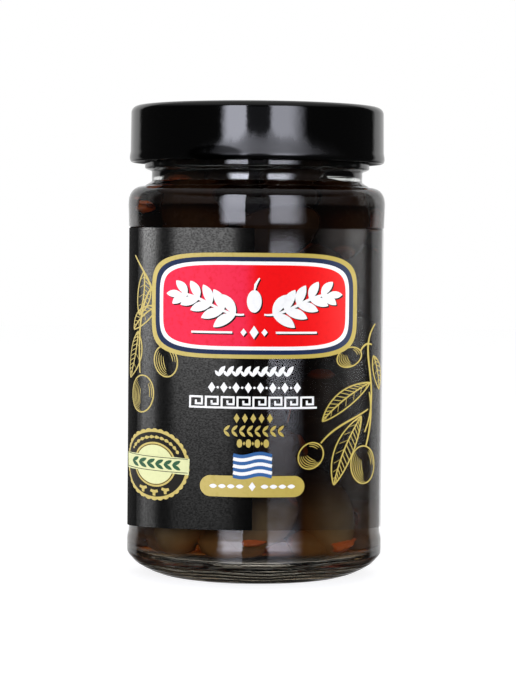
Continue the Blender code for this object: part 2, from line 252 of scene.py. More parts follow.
class GlassSettings(bpy.types.PropertyGroup):
    tint: colour("Glass tint", "Colour of the clear glass", (0.97, 0.985, 0.975))
    peel: share("Unevenness", "Strength of the fine waves in the glass surface", 0.24)
    brine_through: colour(
        "Brine colour", "Colour that white light has after 10 mm of brine", (0.62, 0.36, 0.16), 0.001
    )


class OliveSettings(bpy.types.PropertyGroup):
    skin_dark: colour("Dark skin", "Colour of the darkest olives", (0.006, 0.004, 0.0035))
    skin_light: colour("Light skin", "Colour of the lightest olives", (0.050, 0.026, 0.012))
    flesh: colour("Flesh", "Colour of the flesh round the pit holes", (0.60, 0.14, 0.030))
    # Painted light: the lighter colour that the olives near the floor take on.
    painted_low_light: colour("Low olives", "Colour of the olives near the floor", (0.36, 0.245, 0.115))


class LidSettings(bpy.types.PropertyGroup):
    lacquer: colour("Lacquer", "Colour of the lid", (0.0005, 0.0005, 0.0005))
    gloss: share("Lacquer roughness", "Roughness of the lid's lacquer", 0.07)


class LabelSettings(bpy.types.PropertyGroup):
    film: colour("Film", "Colour of the label film", (0.0010, 0.0010, 0.0011))
    satin: share("Film roughness", "Roughness of the film's satin face", 0.22)
    clear_share: share("Clear half's cover", "How much each face of the see-through half hides", 0.115)
    gold: colour("Gold", "Colour of the gold print", (0.47, 0.365, 0.080))
    cream: colour("Cream", "Colour of the seal's ribbon", (0.66, 0.68, 0.38))
    red: colour("Red", "Colour of the plaque's field", (0.80, 0.001, 0.003))
    navy: colour("Navy", "Colour of the plaque's dark band", (0.010, 0.022, 0.072))
    flag: colour("Flag blue", "Colour of the flag's stripes", (0.035, 0.12, 0.33))


class StudioSettings(bpy.types.PropertyGroup):
    strip_radiance: brightness("Strip light", "Brightness of the two tall softboxes in front", 6.6)
    film_radiance: brightness("Film glow", "Brightness of the panel that the satin film mirrors", 5.4)
    side_radiance: brightness("Side light", "Brightness of the side panels that the film mirrors", 5.4)
    print_radiance: brightness("Print light", "Brightness of the even light on the print", 0.28)
    surround: brightness("Surround", "Brightness of the white surround behind the jar", 0.8)


# Shader maths: a socket in an expression adds its Math nodes.


class Value:
    """A node's output that can be used in sums, products and comparisons."""

    def __init__(self, finish, socket):
        self.finish = finish
        self.socket = socket

    def maths(self, operation, *others, clamp=False):
        settings = {"operation": operation, "use_clamp": clamp}
        return self.finish.node("ShaderNodeMath", settings, {0: self, **dict(enumerate(others, 1))})

    def __add__(self, other):
        return self.maths("ADD", other)

    __radd__ = __add__

    def __mul__(self, other):
        return self.maths("MULTIPLY", other)

    __rmul__ = __mul__

    def __sub__(self, other):
        return self.maths("SUBTRACT", other)

    def __rsub__(self, other):
        return (self * -1.0) + other

    def __truediv__(self, other):
        return self.maths("DIVIDE", other)

    def __rtruediv__(self, other):
        return self.maths("POWER", -1.0) * other

    def clamped(self):
        return self.maths("ADD", 0.0, clamp=True)

    def step(self, low, high, start=0.0, end=1.0):
        """A smooth change from start to end while this value goes from low to high."""
        return self.finish.node(
            "ShaderNodeMapRange",
            {"interpolation_type": "SMOOTHSTEP"},
            {"Value": self, "From Min": low, "From Max": high, "To Min": start, "To Max": end},
        )


class Finish:
    """Builds one material, or the world, from nodes."""

    def __init__(self, name, world=None):
        self.owner = world or bpy.data.materials.new(name)
        self.owner.use_nodes = True
        self.tree = self.owner.node_tree
        self.tree.nodes.clear()

    def node(self, kind, settings=None, inputs=None, output=0):
        """Adds a node: its settings first, then the values or links of its sockets."""
        made = self.tree.nodes.new(kind)
        for key, value in (settings or {}).items():
            setattr(made, key, value)
        for key, value in (inputs or {}).items():
            if isinstance(value, Value):
                self.tree.links.new(value.socket, made.inputs[key])
            else:
                made.inputs[key].default_value = value
        return Value(self, made.outputs[output])

    def place(self, stretch=(1.0, 1.0, 1.0)):
        """Object coordinates in metres, stretched by a Mapping node."""
        spot = self.node("ShaderNodeTexCoord", output="Object")
        return self.node("ShaderNodeMapping", None, {"Vector": spot, "Scale": stretch})

    def parts(self, vector, axes="XYZ"):
        return [self.node("ShaderNodeSeparateXYZ", None, {0: vector}, output=axis) for axis in axes]

    def grain(self, scale, detail=3.0, roughness=0.5, stretch=(1.0, 1.0, 1.0)):
        inputs = {"Scale": scale, "Detail": detail, "Roughness": roughness}
        return self.node("ShaderNodeTexNoise", None, {"Vector": self.place(stretch), **inputs})

    def blend(self, share, first, second):
        """A colour between two colours."""
        inputs = {0: share, 6: self.colour(first), 7: self.colour(second)}
        return self.node("ShaderNodeMix", {"data_type": "RGBA"}, inputs, output=2)

    @staticmethod
    def colour(value):
        return value if isinstance(value, Value) else (*tuple(value)[:3], 1.0)

    def bump(self, height, strength, distance):
        inputs = {"Height": height, "Strength": strength, "Distance": distance}
        return self.node("ShaderNodeBump", None, inputs)

    def surface(self, **inputs):
        """A Principled shader. Underscores in the names stand for spaces."""
        named = {key.replace("_", " "): value for key, value in inputs.items()}
        for key in {"Base Color", "Emission Color", "Specular Tint"} & set(named):
            named[key] = self.colour(named[key])
        return self.node("ShaderNodeBsdfPrincipled", None, named)

    def lets_lamps_through(self, shader):
        """Clear to the rays that look for lamps, so that what is inside is lit."""
        is_shadow = self.node("ShaderNodeLightPath", output="Is Shadow Ray")
        clear = self.node("ShaderNodeBsdfTransparent", None, {"Color": LAMP_SHARE})
        return self.node("ShaderNodeMixShader", None, {0: is_shadow, 1: shader, 2: clear})

    def done(self, surface, volume=None):
        kind = "World" if isinstance(self.owner, bpy.types.World) else "Material"
        inputs = {"Surface": surface}
        if volume:
            inputs["Volume"] = volume
        made = self.tree.nodes.new(f"ShaderNodeOutput{kind}")
        for key, value in inputs.items():
            self.tree.links.new(value.socket, made.inputs[key])
        return self.owner


# Finishes.


def glass_finish(settings, wet=False, heel=False):
    """Clear soda glass. Where brine wets it, it reflects nothing. Its heel is ringed, and there its
    colour and reflection are darkened and browned as painted shade.
    """
    finish = Finish("clear glass, wet face" if wet else "clear glass, heel" if heel else "clear glass")
    broad = finish.grain(60.0, 2.0)
    relief = finish.grain(420.0, 2.0) * 0.25 + broad
    if heel:
        (height,) = finish.parts(finish.place(), "Z")
        relief = relief + (height * (2.0 * math.pi / HEEL_RING) + broad * 9.0).maths("SINE")
    # At the heel, the colour and the reflection's tint are painted shade.
    shader = finish.surface(
        Base_Color=HEEL_SHADE_TINT if heel else tuple(settings.tint),
        Roughness=0.0,
        IOR=GLASS_IOR,
        Transmission_Weight=1.0,
        Specular_Tint=BLACK if wet else HEEL_SHADE_SHEEN if heel else WHITE,
        Normal=finish.bump(relief, settings.peel, 0.4 * MM),
    )
    return finish.done(finish.lets_lamps_through(shader))


def brine_finish(settings, wall):
    """Brown brine. Its face against the glass reflects nothing, its level does."""
    finish = Finish("brine, against the glass" if wall else "brine level")
    shader = finish.surface(
        Base_Color=WHITE,
        Roughness=0.0,
        IOR=BRINE_IOR,
        Transmission_Weight=1.0,
        Specular_Tint=BLACK if wall else WHITE,
    )
    per_metre = [-math.log(share) / (10 * MM) for share in settings.brine_through]
    density = max(per_metre) * 1.02
    absorbed = tuple(1.0 - value / density for value in per_metre)
    inputs = {"Color": (*absorbed, 1.0), "Density": density}
    volume = finish.node("ShaderNodeVolumeAbsorption", None, inputs)
    return finish.done(finish.lets_lamps_through(shader), volume)


def olive_finish(settings):
    """Wet dark skin, mottled, lighter on some olives, with flesh round the pit hole and painted light
    on the olives near the floor.
    """
    finish = Finish("olive skin")
    tint, flesh = (
        finish.node("ShaderNodeAttribute", {"attribute_name": name}, output="Fac")
        for name in ("tint", "flesh")
    )
    mottle = finish.grain(260.0, 5.0, 0.6)
    blush = finish.grain(90.0, 3.0)
    (height,) = finish.parts(finish.place(), "Z")
    share = (tint + (mottle - 0.5) * 0.5 + (blush - 0.5) * 0.5).clamped()
    skin = finish.blend(share, settings.skin_dark, settings.skin_light)
    # Painted light: olives near the floor are lighter and browner, for light that reaches them through
    # the brine from below.
    low = height.step(*PAINTED_LOW_LIGHT_HEIGHTS, 1.0, 0.0) * blush.step(0.3, 0.7, 0.65, 1.0)
    skin = finish.blend(low, skin, settings.painted_low_light)
    colour = finish.blend(flesh, skin, settings.flesh)
    wrinkle = finish.grain(520.0, 3.0, 0.55, (1.0, 1.0, 0.6))
    shader = finish.surface(
        Base_Color=colour,
        Roughness=mottle.step(0.3, 0.7, 0.16, 0.30),
        IOR=WET_SKIN_IOR,
        Normal=finish.bump(wrinkle + mottle * 0.5, 0.3, 0.25 * MM),
    )
    return finish.done(shader)


def lacquer_finish(settings):
    """Black gloss lacquer: faint orange peel, dust pricks, and near the lower edge a painted glow and a
    painted dark patch.
    """
    finish = Finish("black lacquer")
    across, height = finish.parts(finish.place(), "XZ")
    # Painted glow: a bell-shaped patch with a frayed rim near the lower edge, where the lacquer is
    # rougher and lighter in colour.
    glow_fray_grain = finish.grain(520.0, 5.0, 0.7, (1.0, 1.0, 0.25))
    aside = across - PAINTED_GLOW_X
    bell = height + aside * aside * PAINTED_GLOW_CURVE + (glow_fray_grain - 0.5) * PAINTED_GLOW_FRAY
    painted_glow = bell.step(*PAINTED_GLOW_HIGH, 1.0, 0.0) * height.step(*PAINTED_GLOW_LOW)
    # Painted shade: a patch that is metallic with a black colour, so it reflects almost nothing and
    # looks dark.
    left = (across - PAINTED_DARK_PATCH[0]) / PAINTED_DARK_PATCH_HALF[0]
    up = (height - PAINTED_DARK_PATCH[1]) / PAINTED_DARK_PATCH_HALF[1]
    painted_dark_patch = (left * left + up * up).step(0.6, 1.1, 1.0, 0.0)
    peel = finish.grain(300.0, 2.0)
    dust = finish.node("ShaderNodeTexVoronoi", None, {"Vector": finish.place(), "Scale": 330.0})
    prick = dust.step(0.02, 0.07, 1.0, 0.0)
    shader = finish.surface(
        # The lighter colour in the bell-shaped patch is painted glow.
        Base_Color=finish.blend(painted_glow * 0.5, settings.lacquer, (0.012, 0.012, 0.012)),
        Roughness=painted_glow.step(0.0, 1.0, settings.gloss, 0.42),
        Metallic=painted_dark_patch * 0.85,
        IOR=LACQUER_IOR,
        Normal=finish.bump(peel + prick * 0.25, 0.10, 0.25 * MM),
    )
    return finish.done(shader)


def film_grain(finish):
    """A fine crinkled grain, stretched along the label's rows."""
    return finish.grain(FILM_GRAIN, 2.0, 0.55, FILM_GRAIN_STRETCH)


def film_finish(settings, clear):
    """Satin black film. The see-through half is the same film printed very thinly."""
    finish = Finish("see-through film" if clear else "black film")
    relief = film_grain(finish)
    (across,) = finish.parts(finish.place(), "X")
    edge = (across * across).step(FILM_EDGE[0] ** 2, FILM_EDGE[1] ** 2, 1.0, 0.12)
    shader = finish.surface(
        Base_Color=finish.blend(relief, settings.film, (0.002, 0.002, 0.002)),
        Roughness=0.5,
        Specular_IOR_Level=0.0,
        Coat_Weight=relief.step(0.38, 0.62, 0.40, 1.0) * edge,
        Coat_Roughness=settings.satin,
        Coat_IOR=GLASS_IOR,
        Alpha=settings.clear_share if clear else 1.0,
    )
    return finish.done(shader)


def print_finish(name, ink, painted_light=None):
    """Satin ink with the film's grain under it. The optional painted light is a colour for the left
    part, a painted sheen, and where it gives way to the ink, in mm.
    """
    finish = Finish(name)
    speckle = finish.grain(900.0, 3.0, 0.6)
    base = ink
    # Painted sheen: the left part gets its own colour, which fades into the ink between low and high.
    if painted_light:
        sheen_colour, low, high = painted_light
        (across,) = finish.parts(finish.place(), "X")
        base = finish.blend(across.step(low * MM, high * MM), sheen_colour, ink)
    darker = tuple(0.86 * channel for channel in ink)
    shader = finish.surface(
        Base_Color=finish.blend(speckle.step(0.45, 0.8) * 0.5, base, darker),
        Roughness=speckle.step(0.3, 0.7, 0.45, 0.55),
        Specular_IOR_Level=0.12,
        Normal=finish.bump(film_grain(finish), 0.16, 0.1 * MM),
    )
    return finish.done(shader)


# Shapes.


def settings_of(name):
    return getattr(bpy.context.scene, name)


def linked(thing):
    bpy.context.scene.collection.objects.link(thing)
    return thing


def add_mesh(name, bm, finishes):
    """Makes an object at the origin."""
    mesh = bpy.data.meshes.new(name)
    bm.to_mesh(mesh)
    bm.free()
    for finish in finishes:
        mesh.materials.append(finish)
    return linked(bpy.data.objects.new(name, mesh))


def add_piece(name, bm, finishes, slot, replaced=()):
    """Makes a piece that rides on the jar."""
    piece = add_mesh(name, bm, finishes)
    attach(piece, "root")
    if replaced:
        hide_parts(*replaced)
    return piece


def smooth(piece, sharp_degrees=40.0):
    piece.data.shade_smooth()
    piece.data.set_sharp_from_angle(angle=math.radians(sharp_degrees))


def corner(start, across, up, steps, fullness=1.0):
    """Points of a rounded corner that leaves `start` upright and ends level."""
    points = []
    for step in range(steps + 1):
        turn = 0.5 * math.pi * step / steps
        reach = 1.0 - math.cos(turn) ** fullness if step < steps else 1.0
        rise = math.sin(turn) ** fullness
        points.append((start[0] + across * reach, start[1] + up * rise))
    return points


def eased(start, end, steps):
    """Points of a soft S between two heights of a wall, without its start."""
    shares = [step / steps for step in range(1, steps + 1)]
    rise = [0.5 - 0.5 * math.cos(math.pi * share) for share in shares]
    (r, z), (end_r, end_z) = start, end
    return [(r + (end_r - r) * ease, z + (end_z - z) * share) for ease, share in zip(rise, shares)]


def divided(start, end, steps):
    """Points along a straight wall, without its start."""
    (r, z), (end_r, end_z) = start, end
    return [(r + (end_r - r) * k / steps, z + (end_z - z) * k / steps) for k in range(1, steps + 1)]


def carried_on(outline, *stretches):
    """Goes on from an outline's end by stretches, each with its kind, its end and its steps."""
    for kind, end, steps in stretches:
        outline += kind(outline[-1], end, steps)
    return outline


def turned(outline, steps=ROUND_STEPS):
    """A bmesh turned about Z from an outline whose ends lie on the axis or meet."""
    bm = bmesh.new()
    points = [bm.verts.new((radius, 0.0, height)) for radius, height in outline]
    edges = [bm.edges.new(pair) for pair in zip(points, points[1:])]
    bmesh.ops.spin(
        bm,
        geom=points + edges,
        cent=(0.0, 0.0, 0.0),
        axis=(0.0, 0.0, 1.0),
        angle=2 * math.pi,
        steps=steps,
        use_merge=True,
    )
    bmesh.ops.remove_doubles(bm, verts=bm.verts, dist=1e-6)
    bmesh.ops.recalc_face_normals(bm, faces=bm.faces)
    return bm


def glass_outside():
    """The jar's outer outline, from the middle of its base up to the lip."""
    outline = [(FOOT_INNER_R * k / 6, PUSH_UP * (1.0 - (k / 6) ** 2.2)) for k in range(7)]
    heel = corner((HEEL_R, HEEL_HEIGHT), FOOT_OUTER_R - HEEL_R, -HEEL_HEIGHT, 28, HEEL_FULLNESS)
    heel = [(r + HEEL_RIPPLE * math.sin(HEEL_RIPPLES * math.pi * z / HEEL_HEIGHT), z) for r, z in heel]
    outline += reversed(heel)
    carried_on(
        outline,
        (divided, (HEEL_R, PANEL_LOW - PANEL_STEP), 2),
        (eased, (PANEL_R, PANEL_LOW), 5),
        (divided, (PANEL_R, PANEL_HIGH), 14),
        (eased, (ABOVE_LABEL_R, PANEL_HIGH + TOP_STEP), 5),
        (divided, (SHOULDER_R, SHOULDER_START), 6),
    )
    rise = SHOULDER_TOP - SHOULDER_START
    outline += corner(outline.pop(), -SHOULDER_WIDTH, rise, 14, SHOULDER_FULLNESS)
    carried_on(
        outline,
        (eased, (NECK_R, NECK_LOW), 6),
        (divided, (NECK_R, NECK_HIGH), 2),
        (eased, (BEAD_R, BEAD_LOW), 5),
        (divided, (BEAD_R, BEAD_HIGH), 5),
        (eased, (FINISH_R, BEAD_HIGH + BEAD_STEP), 2),
    )
    return outline + corner((FINISH_R, MOUTH_Z - LIP_RADIUS), -LIP_RADIUS, LIP_RADIUS, 5)


def glass_inside(grow=0.0):
    """The jar's inner outline, from the neck down to the middle of its floor."""
    bore_corner = corner((BORE_R + grow, BORE_TOP), -BORE_CORNER_WIDTH, BORE_CORNER_HEIGHT, 8)
    outline = carried_on([(NECK_BORE_R + grow, NECK_BORE_LOW)], (eased, bore_corner[-1], 6))[:-1]
    outline += reversed(bore_corner)
    carried_on(outline, (divided, (BORE_R + grow, FLOOR_Z + FLOOR_CORNER), 24))
    outline += corner(outline.pop(), -FLOOR_CORNER, -FLOOR_CORNER - grow, 12)
    return carried_on(outline, (divided, (0.0, FLOOR_Z - grow), 5))


def build_glass():
    """The jar: turned, with an inner wall that is a little uneven, as blown glass is."""
    settings = settings_of("jar_glass")
    lip = [
        (NECK_BORE_R + 1.2 * MM, MOUTH_Z),
        (NECK_BORE_R + 0.3 * MM, MOUTH_Z - LIP_RADIUS),
        (NECK_BORE_R, MOUTH_Z - 4.0 * MM),
    ]
    bm = turned(glass_outside() + lip + glass_inside())
    limit = BORE_R + 0.4 * WALL
    for vert in bm.verts:
        reach = vert.co.xy.length
        inner = reach < limit and vert.co.z > 0.7 * FLOOR_Z and reach > 1 * MM
        if inner and (vert.co.z < NECK_BORE_LOW or reach < NECK_BORE_R + 0.1 * MM):
            spot = Vector((vert.co.x * 45.0, vert.co.y * 45.0, vert.co.z * 30.0))
            vert.co.xy *= 1.0 + WALL_UNEVENNESS * noise.noise(spot) / reach
    for face in bm.faces:
        middle = face.calc_center_median()
        upward = face.normal.z > 0.5 and middle.xy.length < BORE_R
        inward = face.normal.xy.dot(middle.xy) < 0.0 or upward
        below = 0.5 * FLOOR_Z < middle.z < BRINE_LEVEL
        wet = inward and below and middle.xy.length < limit
        face.material_index = 1 if wet else 2 if middle.z < HEEL_FINISH_TOP else 0
    finishes = [glass_finish(settings, **where) for where in ({}, {"wet": True}, {"heel": True})]
    smooth(add_piece("glass", bm, finishes, "clear_glass", ["jar"]), 50.0)


def build_brine():
    """The brine fills the glass to its level and reaches just into the wall."""
    settings = settings_of("jar_glass")
    wall = glass_inside(BRINE_REACH)
    inside = [point for point in wall if point[1] < BRINE_LEVEL]
    upper = np.array(sorted((z, r) for r, z in wall if z > BORE_TOP)).T
    wall_top = np.interp(BRINE_LEVEL + MENISCUS, *upper)
    level = [(0.0, BRINE_LEVEL)]
    for out in (0.5, 0.8, 0.9, 0.95, 0.98, 1.0):
        level.append((wall_top * out, BRINE_LEVEL + MENISCUS * math.exp((out - 1.0) * 22.0)))
    bm = turned(level + inside)
    for face in bm.faces:
        face.material_index = int(face.normal.z > 0.3 and face.calc_center_median().z > BORE_TOP)
    finishes = [brine_finish(settings, True), brine_finish(settings, False)]
    smooth(add_piece("brine", bm, finishes, "brine"), 50.0)


def bore_radius(height):
    """The radius that the heap may fill at each height. It is well rounded at the floor."""
    low = np.clip((HEAP_CORNER_TOP - height) / HEAP_CORNER_HEIGHT, 0.0, 1.0)
    high = np.clip((height - BORE_TOP) / BORE_CORNER_HEIGHT, 0.0, 1.0)
    radius = BORE_R - HEAP_CORNER_WIDTH * (1.0 - np.sqrt(1.0 - low**2))
    radius -= BORE_CORNER_WIDTH * (1.0 - np.sqrt(1.0 - high**2))
    return np.where(height > BORE_TOP + BORE_CORNER_HEIGHT, NECK_BORE_R, radius)


def off_axis(points):
    """How far the points lie from the jar's axis."""
    return np.hypot(points[..., 0], points[..., 1])


def first_places(rng):
    """Loose starting places: rings against the wall, a few on the floor and in the neck."""
    places = []
    for ring, (height, count) in enumerate(OLIVE_RINGS):
        for index in range(count):
            angle = 2 * math.pi * (index + 0.5 * (ring % 2) + 0.25 * rng.uniform(-1, 1)) / count
            places.append((RING_R, angle, height * MM + RING_SCATTER * rng.uniform(-1, 1)))
    for index in range(FLOOR_OLIVES):
        places.append((FLOOR_RING_R, 2 * math.pi * index / FLOOR_OLIVES, FLOOR_OLIVE_Z))
    for index in range(NECK_OLIVES):
        places.append((NECK_RING_R, 2 * math.pi * (index + 0.3) / NECK_OLIVES, NECK_OLIVE_Z))
    radius, angle, height = np.array(places).T
    cosine, sine = np.cos(angle), np.sin(angle)
    centres = np.stack([radius * cosine, radius * sine, height], axis=1)
    lean = rng.uniform(-0.45 * math.pi, 0.45 * math.pi, len(places))
    inward = rng.uniform(-0.35, 0.35, len(places))
    x = -sine * np.cos(lean) + inward * cosine
    y = cosine * np.cos(lean) + inward * sine
    axes = np.stack([x, y, np.sin(lean)], axis=1)
    return centres, axes / np.linalg.norm(axes, axis=1, keepdims=True)


def settle(centres, axes, sizes):
    """Pushes the olives apart and out against the glass. Each is treated as three balls in a row."""
    ball_place = BALL_SPACING * np.array([-1.0, 0.0, 1.0]) * OLIVE_HALF_LENGTH
    ball_radius = np.array([END_BALL, 1.0, END_BALL]) * OLIVE_HALF_WIDTH
    count = len(centres)
    owner = np.repeat(np.arange(count), 3)
    radius = (sizes[:, None] * ball_radius).reshape(-1)
    lever = (sizes[:, None] * ball_place).reshape(-1)
    apart = owner[:, None] != owner[None, :]
    touching = radius[:, None] + radius[None, :]
    for round_index in range(SETTLE_ROUNDS):
        drift = DRIFT if round_index < DRIFT_ROUNDS else 0.0
        balls = centres[owner] + lever[:, None] * axes[owner]
        offset = balls[:, None, :] - balls[None, :, :]
        distance = np.linalg.norm(offset, axis=2) + 1e-9
        depth = np.where(apart, np.maximum(touching - distance, 0.0), 0.0)
        push = PUSH_SHARE * np.sum(offset / distance[:, :, None] * depth[:, :, None], axis=1)
        reach = off_axis(balls) + 1e-9
        outward = np.stack([balls[:, 0] / reach, balls[:, 1] / reach, np.zeros(len(balls))], axis=1)
        for tilt in BALL_TILTS:
            limit = bore_radius(balls[:, 2] + radius * math.sin(tilt)) - OLIVE_CLEARANCE
            over = np.maximum(reach + radius * math.cos(tilt) - limit, 0.0)
            push -= outward * over[:, None]
        push[:, 2] += np.maximum(HEAP_FLOOR_Z + OLIVE_CLEARANCE + radius - balls[:, 2], 0.0)
        for index in range(3):
            centres = centres + push[index::3] / 2.0
            axes = axes + lever[index::3, None] * push[index::3] / (2.0 * ball_place[2] ** 2)
        axes = axes / np.linalg.norm(axes, axis=1, keepdims=True)
        spread = off_axis(centres)[:, None]
        centres[:, :2] += np.where(spread > WALL_LAYER_R, drift * centres[:, :2] / spread, 0.0)
    return centres, axes


def draw_in(centres, axes, sizes):
    """Draws each olive towards the jar's axis until its whole skin clears the glass."""
    across = np.cross(axes, (0.0, 0.0, 1.0)) + 1e-9
    across = across / np.linalg.norm(across, axis=1, keepdims=True)
    along, round_it = np.meshgrid(np.linspace(-1.0, 1.0, 11), np.linspace(0, 2 * math.pi, 16))
    along, round_it = along.reshape(-1), round_it.reshape(-1)
    girth = OLIVE_HALF_WIDTH * np.sqrt(1.0 - along**2)
    skin = sizes[:, None, None] * (
        axes[:, None, :] * (OLIVE_HALF_LENGTH * along)[None, :, None]
        + across[:, None, :] * (girth * np.cos(round_it))[None, :, None]
        + np.cross(axes, across)[:, None, :] * (girth * np.sin(round_it))[None, :, None]
    )
    for _ in range(DRAW_IN_ROUNDS):
        points = centres[:, None, :] + skin
        limit = bore_radius(points[:, :, 2]) - OLIVE_CLEARANCE
        over = np.max(off_axis(points) - limit, axis=1).clip(0.0)
        reach = off_axis(centres) + 1e-9
        centres[:, :2] *= (1.0 - over / reach)[:, None]
        centres[:, 2] += (HEAP_FLOOR_Z + OLIVE_CLEARANCE - points[:, :, 2].min(axis=1)).clip(0.0)
    return np.round(centres, 6), np.round(axes, 4)


def olive_places():
    """(centre, long axis, size) of each olive, the same on every run."""
    rng = np.random.default_rng(OLIVE_SEED)
    centres, axes = first_places(rng)
    sizes = np.round(1.0 + OLIVE_SIZE_SPREAD * rng.uniform(-1.0, 1.0, len(centres)), 3)
    centres, axes = draw_in(*settle(centres, axes, sizes), sizes)
    return list(zip(centres, axes, sizes))


def add_olive(bm, centre, axis, size, tint, rng, layers, flesh=0.0, flat=1.0):
    """One pitted olive: almond-shaped, faintly wrinkled, with a round hole at one end."""
    tint_layer, flesh_layer = layers
    made = bmesh.ops.create_uvsphere(bm, u_segments=26, v_segments=20, radius=1.0)
    seed = Vector(rng.uniform(-50, 50, 3))
    turn = Vector((0.0, 0.0, 1.0)).rotation_difference(Vector(axis)).to_matrix().to_4x4()
    spin = Matrix.Rotation(rng.uniform(0, 2 * math.pi), 4, "Z")
    flip = -1.0 if rng.uniform() < 0.5 else 1.0
    for vert in made["verts"]:
        unit = vert.co.copy()
        girth = 1.0 - (0.07 + 0.45 * flesh) * unit.z - 0.03 * unit.z**2
        ripple = 0.014 * noise.noise(unit * 1.7 + seed) + 0.007 * noise.noise(unit * 5.0 + seed)
        ripple *= 1.0 + 22.0 * flesh
        away = math.hypot(unit.x, unit.y)
        vert[tint_layer] = tint
        vert[flesh_layer] = flesh
        depth = 0.0
        if unit.z < 0 and away < PIT_R:
            depth = PIT_DEPTH * (1.0 - (away / PIT_R) ** 3)
            vert[flesh_layer] = 1.0
        elif unit.z < 0 and away < 1.25 * PIT_R:
            vert[flesh_layer] = 0.35
        vert.co.xy = unit.xy * (girth + ripple) * OLIVE_HALF_WIDTH * size
        vert.co.z = flip * (unit.z + depth) * OLIVE_HALF_LENGTH * size
    faces = list({face for vert in made["verts"] for face in vert.link_faces})
    if flip < 0:
        bmesh.ops.reverse_faces(bm, faces=faces)
    matrix = Matrix.Translation(Vector(centre)) @ Matrix.Diagonal((1.0, 1.0, flat, 1.0)) @ turn @ spin
    bmesh.ops.transform(bm, matrix=matrix, verts=made["verts"])


def build_olives():
    """The heap: separate olives round a dark core that can't be seen."""
    settings = settings_of("jar_olives")
    rng = np.random.default_rng(OLIVE_SEED + 1)
    bm = turned([(0.0, CORE_LOW), (CORE_R, CORE_LOW), (CORE_R, CORE_HIGH), (0.0, CORE_HIGH)], 24)
    layers = (bm.verts.layers.float.new("tint"), bm.verts.layers.float.new("flesh"))
    for centre, axis, size in olive_places():
        add_olive(bm, centre, axis, size, rng.beta(1.3, 3.0), rng, layers)
    for index in range(FLOOR_BITS):
        turn = 2 * math.pi * (index + 0.4 * rng.uniform(-1, 1)) / FLOOR_BITS
        along = (math.cos(turn), math.sin(turn), 0.2 * rng.uniform(-1, 1))
        place = on_label(turn, FLOOR_BIT_Z, FLOOR_BIT_R)
        add_olive(bm, place, along, rng.uniform(*FLOOR_BIT_SIZES), BIT_TINT, rng, layers)
    for degrees, height, size in FLESH_BITS:
        turn = math.radians(degrees)
        place = on_label(turn, height * MM, BORE_R - 0.5 * MM - OLIVE_HALF_WIDTH * size)
        along = (math.cos(turn), math.sin(turn), FLESH_LEAN)
        add_olive(bm, place, along, size, BIT_TINT, rng, layers, flesh=1.0, flat=FLESH_FLATNESS)
    smooth(add_piece("olive_heap", bm, [olive_finish(settings)], "olive_skin", ["olives"]), 80.0)


def build_lid():
    """The pressed lid: button, recessed panel, rounded rim, plain side and a curled lower edge."""
    settings = settings_of("jar_lid")
    panel_z = LID_TOP - LID_PANEL_DROP
    button_z, curl_z = panel_z + LID_BUTTON_RISE, LID_LOW + 0.4 * CURL_HEIGHT
    outline = carried_on(
        [(0.0, button_z)],
        (divided, (LID_BUTTON_R, button_z), 3),
        (eased, (LID_BUTTON_R + LID_BUTTON_SLOPE, panel_z), 5),
        (divided, (LID_PANEL_R, panel_z), 4),
        (eased, (LID_PANEL_R + LID_PANEL_SLOPE, LID_TOP), 6),
    )
    outline += reversed(corner((LID_R, LID_TOP - LID_CORNER), -LID_CORNER, LID_CORNER, 12))
    carried_on(
        outline,
        (divided, (LID_R + LID_FLARE, LID_LOW + CURL_HEIGHT), 6),
        (eased, (LID_CURL_R, curl_z), 6),
    )
    outline += corner(outline.pop(), LID_BORE_R - LID_CURL_R + 0.45 * MM, LID_LOW - curl_z, 6)
    outline += [
        (LID_BORE_R + 0.1 * MM, LID_LOW + 0.3 * MM),
        (LID_BORE_R, LID_LOW + CURL_HEIGHT),
        (LID_BORE_R, LID_CEILING - 1.0 * MM),
        (LID_BORE_R - 1.0 * MM, LID_CEILING),
        (0.0, LID_CEILING),
    ]
    finishes = [lacquer_finish(settings)]
    smooth(add_piece("twist_lid", turned(outline), finishes, "black_lacquer", ["lid"]), 50.0)


def label_low_edge(angle):
    """Height of the label's lower edge: arched over the front half and level round the back."""
    return LABEL_LOW_BACK + LABEL_ARCH * max(0.0, math.cos(angle))


def on_label(angle, height, radius):
    """A point round the label: angle 0 is its front, and it grows to the front view's right."""
    return Vector((radius * math.sin(angle), -radius * math.cos(angle), height))


def build_film(name, end, finish):
    """One half of the label: a thin film bent round the jar from the split at its front."""
    bm = bmesh.new()
    inner, outer = LABEL_R - LABEL_THICK, LABEL_R
    corners = [(inner, LABEL_LOW_BACK), (outer, LABEL_LOW_BACK), (outer, LABEL_TOP), (inner, LABEL_TOP)]
    ends = [bm.verts.new(on_label(FILM_SPLIT, height, radius)) for radius, height in corners]
    side = bm.faces.new(ends)
    bmesh.ops.spin(
        bm,
        geom=ends + side.edges[:] + [side],
        cent=(0.0, 0.0, 0.0),
        axis=(0.0, 0.0, 1.0),
        angle=end - FILM_SPLIT,
        steps=round(abs(end - FILM_SPLIT) / FILM_STEP),
        use_merge=False,
    )
    for vert in bm.verts:
        if vert.co.z < 0.5 * LABEL_TOP:
            vert.co.z = label_low_edge(math.atan2(vert.co.x, -vert.co.y))
    bmesh.ops.recalc_face_normals(bm, faces=bm.faces)
    smooth(add_piece(name, bm, [finish], "black_film", ["label"]))


def build_label():
    settings = settings_of("jar_label")
    back = math.pi - 0.5 * LABEL_OPEN_ANGLE
    build_film("film_black", -back, film_finish(settings, False))
    build_film("film_clear", back, film_finish(settings, True))


# Print. It is drawn flat, x across the label's front view and z up in millimetres, then bent round
# the jar.


